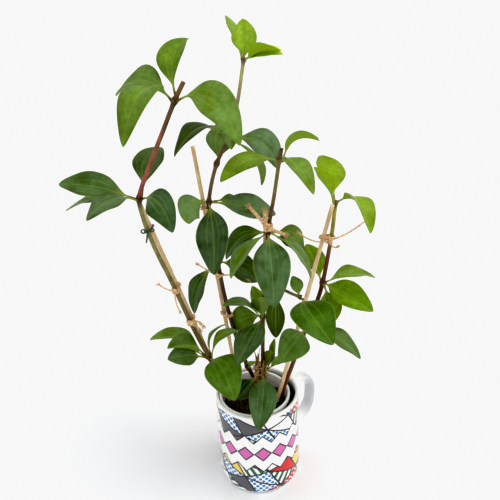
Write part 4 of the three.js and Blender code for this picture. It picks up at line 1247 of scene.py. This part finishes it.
def wrapped(stem_at, ahead, stake_at, reaches, turns, pitch):
    """A line that winds round stem and stake: half a circle round each, joined straight, shifted
    along the stem by the pitch at every turn. It starts in front, between the two."""
    apart = stake_at - stem_at
    apart = apart - ahead * (apart @ ahead)
    along = unit(apart)
    over = np.cross(ahead, along)
    over = -over * np.sign(over[1])
    angle = np.linspace(0, np.pi, 14)[:, None]
    near = stem_at + reaches[0] * (over * np.cos(angle) - along * np.sin(angle))
    far = stem_at + apart + reaches[1] * (along * np.sin(angle) - over * np.cos(angle))
    front = stem_at + apart / 2 + over * (reaches[0] + reaches[1]) / 2
    loop, _, _ = evenly(np.vstack([front, near, far, front]), 0.6)
    line = np.vstack([loop[:-1]] * turns + [loop[-1:]])
    lift = (np.arange(len(line)) / (len(loop) - 1) - turns / 2) * pitch
    return line + ahead * lift[:, None]


def knot_line(centre, size):
    """A trefoil: ((2 + cos 3t) cos 2t, (2 + cos 3t) sin 2t, sin 3t), squashed towards the stem."""
    t = np.linspace(0, TURN, 90)
    x, z = (2 + np.cos(3 * t)) * np.cos(2 * t), (2 + np.cos(3 * t)) * np.sin(2 * t)
    return centre + np.stack([0.42 * size * x, 0.45 * size * np.sin(3 * t), 0.36 * size * z], -1)


def twisted(line, count, offset, pitch=11.0):
    """Lines that wind round a line side by side: offset from it by across * cos + over * sin of an
    angle that turns once in a pitch, and narrows in to nothing at the start."""
    if count == 1:
        return [line]
    line, ahead, travelled = evenly(line, 0.6)
    across = unit(np.cross(BACK, ahead))
    over = np.cross(ahead, across)
    away = offset * ease(0, 3, travelled)[:, None]
    angles = [(phase + TURN * travelled / pitch)[:, None] for phase in round_angles(count)]
    return [line + away * (across * np.cos(angle) + over * np.sin(angle)) for angle in angles]


def twine_parts(tie, radius, hairs, seed):
    """Turns round stem and stake, a knot in front, loose ends of one or more twisted cords that fray
    at their tips, and hairs."""
    _, _, turns, size, ends, count = tie
    draw = np.random.default_rng(seed)
    stem_at, ahead, stake_at, knot = tie_place(tie)
    reaches = [reach + radius for reach in TIE_REACHES]
    band = wrapped(stem_at, ahead, stake_at, reaches, turns, 2.1 * radius)
    parts = [cord_part(band, radius, ahead)]
    for k in range(min(count, 2)):
        line = knot_line(knot + np.array([0, -0.4, 1.1]) * k, size * (1 - 0.15 * k))
        parts.append(cord_part(line, radius, BACK))
    fuzz_at = [band[draw.integers(0, len(band), hairs // 2)]]
    for bend, tip in ends:
        middle = loose_end(knot, bend, tip)
        for line in twisted(middle, count, 1.05 * radius):
            parts.append(cord_part(line, radius, BACK, taper=0.12))
            # the tip opens into a brush of fibres
            way = unit(line[-1] - line[-4])
            number = CORD["brush"]
            ways = unit(way + draw.normal(0, 0.36, (number, 3)))
            starts = line[-1] - way * draw.uniform(0.5, 2.0, (number, 1))
            starts = starts + draw.normal(0, 0.3, (number, 3))
            parts += hair_parts(starts, ways, draw.uniform(2.4, 4.6, number), 0.24, draw, 0.1)
        fuzz_at.append(middle[draw.integers(2, len(middle), count * hairs // 4)])
    fuzz_at = np.vstack(fuzz_at)
    ways = unit(draw.normal(size=fuzz_at.shape))
    parts += hair_parts(fuzz_at, ways, draw.uniform(1.2, 3.6, len(fuzz_at)), 0.08, draw)
    return parts


def fibre_clump_parts(seed):
    """Frayed old twine and dry husks round the foot of the middle stems: flat ribbons that climb and
    spread from a bound waist, with short turns of twine round it and a stub that points forward."""
    draw = np.random.default_rng(seed)
    parts = []
    waist = np.array(FIBRES["waist"])
    for turn in draw.uniform(0, TURN, FIBRES["count"]):
        out, _ = directions(turn)
        level = draw.uniform(*FIBRES["levels"])
        start = waist + out * draw.uniform(2.4, 4.6) + UP * level
        climb = draw.choice([-1, 1], p=[0.35, 0.65]) * draw.uniform(6, 15)
        spread = draw.uniform(0.5, 6.0)
        bend = start + UP * climb * 0.6 + out * spread * 0.2
        end = start + UP * climb + out * spread + draw.normal(0, 1.2, 3)
        line, ahead, travelled = evenly(curved(start, bend, end, 10), 1.2)
        wide = draw.uniform(0.4, 1.25) * (1 - 0.7 * travelled / travelled[-1])
        parts.append(skin(rings(line, ahead, out, wide, 6, flat=0.3), uv_size=(2.0, travelled[-1])))
    for level, reach in ((99.0, 4.3), (107.0, 4.9), (114.0, 5.1), (121.0, 4.7)):
        angle = np.linspace(0, TURN * 1.7, 70)[:, None]
        ring_line = waist + UP * (level + angle * 0.35) + reach * (
            np.cos(angle) * np.array([1, 0, 0.15]) + np.sin(angle) * BACK)
        parts.append(cord_part(ring_line, 0.75, UP))
    stub = curved(*(waist + np.array(point) for point in ((-1, -4, 106), (-3, -8, 100), (-3, -11, 91))))
    for line in twisted(stub, 3, 0.8):
        parts.append(cord_part(line, 0.8, BACK, taper=0.3))
    return parts


class PEPEROMIA_OT_twine(bpy.types.Operator):
    """Build the twine ties and the fibre at the foot of the stems"""
    bl_idname = "peperomia.twine"
    bl_label = "Twine"

    def execute(self, context):
        given = context.scene.peperomia_ties
        jute, b = material("twine")
        strands = b.grown(fibres(), Place=b.uv(), Light=given.twine_light,
                          Dark=given.twine_dark, Fineness=3.0, Length=2.5)
        shades = b.noise(b.place(), 300, 2)
        colour = b.bright(strands["Color"], b.scaled(shades, 0.7, 0.7))
        b.shade(colour, 0.85, strands["Height"], relief=0.0002, strength=0.8, Sheen_Weight=0.3,
                Sheen_Roughness=0.5)
        for seed, (name, tie) in enumerate(TWINES.items(), SEEDS["twine"]):
            parts = twine_parts(tie, given.cord / MM, given.hairs, seed)
            make(f"{name}_cord", parts, jute, (name,))
        husk, b = material("dry_fibre")
        straw, bark = tint("#e3ba80"), tint("#70502f")
        strands = b.grown(fibres(), Place=b.uv(), Light=straw, Dark=bark, Fineness=3.0, Length=4.0)
        shades = b.noise(b.place(), 240, 2)
        colour = b.bright(strands["Color"], b.scaled(shades, 1.4, 0.35))
        b.shade(colour, 0.8, strands["Height"], relief=0.0002, strength=0.8)
        make("dry_fibre_clump", fibre_clump_parts(SEEDS["dry_fibre"]), husk)
        return {"FINISHED"}


class PEPEROMIA_OT_wire(bpy.types.Operator):
    """Build the coated wire tie"""
    bl_idname = "peperomia.wire"
    bl_label = "Wire tie"

    def execute(self, context):
        given = context.scene.peperomia_ties
        coating, b = material("wire_coating")
        place = b.place()
        dust = b.step(0.45, 0.7, b.noise(place, 400, 3))
        worn = tint("#7c8a80")
        colour = b.mix(b.times(dust, 0.5), given.wire, worn)
        b.shade(colour, b.scaled(dust, 0.2, 0.45), b.noise(place, 1500, 2),
                relief=0.00006, strength=0.5)
        stem_at, ahead, stake_at, knot = tie_place(WIRE)
        radius = 0.75
        reaches = [reach + radius for reach in TIE_REACHES]
        band = wrapped(stem_at, ahead, stake_at, reaches, 1, 0.8)
        parts = [cord_part(band, radius, ahead, depth=0.0)]
        angle = np.linspace(0, TURN, 40)[:, None]
        for x, z, size in ((-3.4, 0.6, 1.9), (3.6, 1.4, 1.7)):
            eye = knot + np.array([x, 0.6, z]) + size * (np.cos(angle) * np.array([1, 0.25, 0])
                                                        + np.sin(angle) * UP * 0.85)
            parts.append(cord_part(eye, radius * 0.8, BACK, depth=0.0))
        for bend, tip in WIRE[4]:
            line = loose_end(knot, bend, tip)
            parts.append(cord_part(line, radius * 1.1, BACK, pitch=2.2, depth=0.3))
        make("wire_tie", parts, coating, ("wire_tie_left",))
        return {"FINISHED"}


# Stage

def sweep_mesh():
    """Floor and backdrop in one round sheet: flat near the mug, then rising as the square of the
    distance from it."""
    reach = np.concatenate([[0.02], np.linspace(0.6, SWEEP["edge"], 58)])[:, None]
    angle = round_angles(96)[None]
    height = SWEEP["rise"] * np.maximum(reach - SWEEP["flat"], 0) ** 2
    points = np.stack(np.broadcast_arrays(reach * np.cos(angle), reach * np.sin(angle), height), -1)
    rows, columns = points.shape[:2]
    faces = quad_grid(rows, columns)[2][..., ::-1].reshape(-1, 4).tolist()
    mesh = bpy.data.meshes.new("paper_sweep")
    mesh.from_pydata(points.reshape(-1, 3).tolist(), [], faces + [list(range(columns))])
    mesh.shade_smooth()
    return mesh


def light(name, way, strength, width, colour):
    """A distant light that shines against the given way, as soft as its width in degrees."""
    lamp = bpy.data.lights.new(name, "SUN")
    lamp.energy = strength
    lamp.angle = np.radians(width)
    lamp.color = colour
    shown = bpy.data.objects.new(name, lamp)
    bpy.context.scene.collection.objects.link(shown)
    back = unit(np.array(way))
    right = unit(np.cross(BACK, back))
    set_frame(shown, back + AXIS * MM, right, np.cross(back, right), back)


def set_frame(shown, place, right, up, back):
    """Gives an object its place and its three directions."""
    matrix = np.eye(4)
    matrix[:3, 0], matrix[:3, 1], matrix[:3, 2], matrix[:3, 3] = right, up, back, place
    shown.matrix_world = Matrix(matrix.tolist())


class PEPEROMIA_OT_stage(bpy.types.Operator):
    """Build the paper sweep, the lights and the camera"""
    bl_idname = "peperomia.stage"
    bl_label = "Stage"

    def execute(self, context):
        given = context.scene.peperomia_stage
        paper, b = material("paper")
        grain = b.noise(b.place(), 300, 2)
        b.shade(b.bright(given.floor, b.scaled(grain, 0.01, 0.995)), 0.9)
        sweep = bpy.data.objects.new("paper_sweep", sweep_mesh())
        sweep.data.materials.append(paper)
        context.scene.collection.objects.link(sweep)
        world = bpy.data.worlds.new("soft_room")
        world.use_nodes = True
        world.node_tree.nodes.clear()
        room = Bench(world.node_tree)
        across, _, height = room.split(room.node("ShaderNodeTexCoord").outputs["Generated"])
        ceiling = room.step(0.55, 0.8, height)
        glow = room.mix(ceiling, (given.ambient * ROOM["horizon"],) * 3,
                        (given.ambient * ROOM["overhead"],) * 3)
        glow = room.bright(glow, room.scaled(across, ROOM["across"], 1.0))
        sky = room.node("ShaderNodeBackground", {"Color": glow, "Strength": 1.0})
        room.tree.links.new(sky.outputs[0], room.node("ShaderNodeOutputWorld").inputs["Surface"])
        context.scene.world = world
        for name, (way, strength, width, colour) in LIGHTS.items():
            light(name, way, given.key * strength, width, colour)
        lens = bpy.data.cameras.new("camera")
        lens.lens = given.lens
        lens.sensor_width = CAMERA["sensor"]
        lens.clip_start = 0.01
        camera = bpy.data.objects.new("camera", lens)
        context.scene.collection.objects.link(camera)
        pitch, roll = np.radians([CAMERA["pitch"], CAMERA["roll"]])
        forward = np.array([0, np.cos(pitch), -np.sin(pitch)])
        right, up = np.array([1.0, 0, 0]), np.array([0, np.sin(pitch), np.cos(pitch)])
        tilted = np.cos(roll) * right + np.sin(roll) * up
        place = (np.array(CAMERA["place"]) + AXIS) * MM
        set_frame(camera, place, tilted, np.cos(roll) * up - np.sin(roll) * right, -forward)
        context.scene.camera = camera
        view = context.scene.view_settings
        view.view_transform = "Standard"
        view.gamma = 1 / given.contrast
        view.use_curve_mapping = True
        curves = view.curve_mapping
        curves.black_level = (given.black,) * 3
        curves.curves[3].points[1].location = (1.0, given.white)
        curves.extend = "HORIZONTAL"
        curves.update()
        return {"FINISHED"}


STEPS = ("mug", "pot", "soil", "stems", "stakes", "leaves", "twine", "wire", "stage")
SETTINGS = {"mug": MugSettings, "plant": PlantSettings, "ties": TieSettings, "stage": StageSettings}


class PEPEROMIA_PT_panel(bpy.types.Panel):
    """Settings and building steps of the plant"""
    bl_idname = "PEPEROMIA_PT_panel"
    bl_label = "Peperomia"
    bl_space_type = "VIEW_3D"
    bl_region_type = "UI"
    bl_category = "Peperomia"

    def draw(self, context):
        for name, kind in SETTINGS.items():
            box = self.layout.box()
            for key in kind.__annotations__:
                box.prop(getattr(context.scene, f"peperomia_{name}"), key)
        for step in STEPS:
            self.layout.operator(f"peperomia.{step}")


CLASSES = (*SETTINGS.values(), PEPEROMIA_OT_mug, PEPEROMIA_OT_pot, PEPEROMIA_OT_soil,
           PEPEROMIA_OT_stems, PEPEROMIA_OT_stakes, PEPEROMIA_OT_leaves, PEPEROMIA_OT_twine,
           PEPEROMIA_OT_wire, PEPEROMIA_OT_stage, PEPEROMIA_PT_panel)


def register():
    for kind in CLASSES:
        bpy.utils.register_class(kind)
    for name, kind in SETTINGS.items():
        setattr(bpy.types.Scene, f"peperomia_{name}", bpy.props.PointerProperty(type=kind))


def unregister():
    for name in SETTINGS:
        delattr(bpy.types.Scene, f"peperomia_{name}")
    for kind in reversed(CLASSES):
        bpy.utils.unregister_class(kind)


def main():
    register()
    for step in STEPS:
        getattr(bpy.ops.peperomia, step)()


if __name__ == "__main__":
    main()
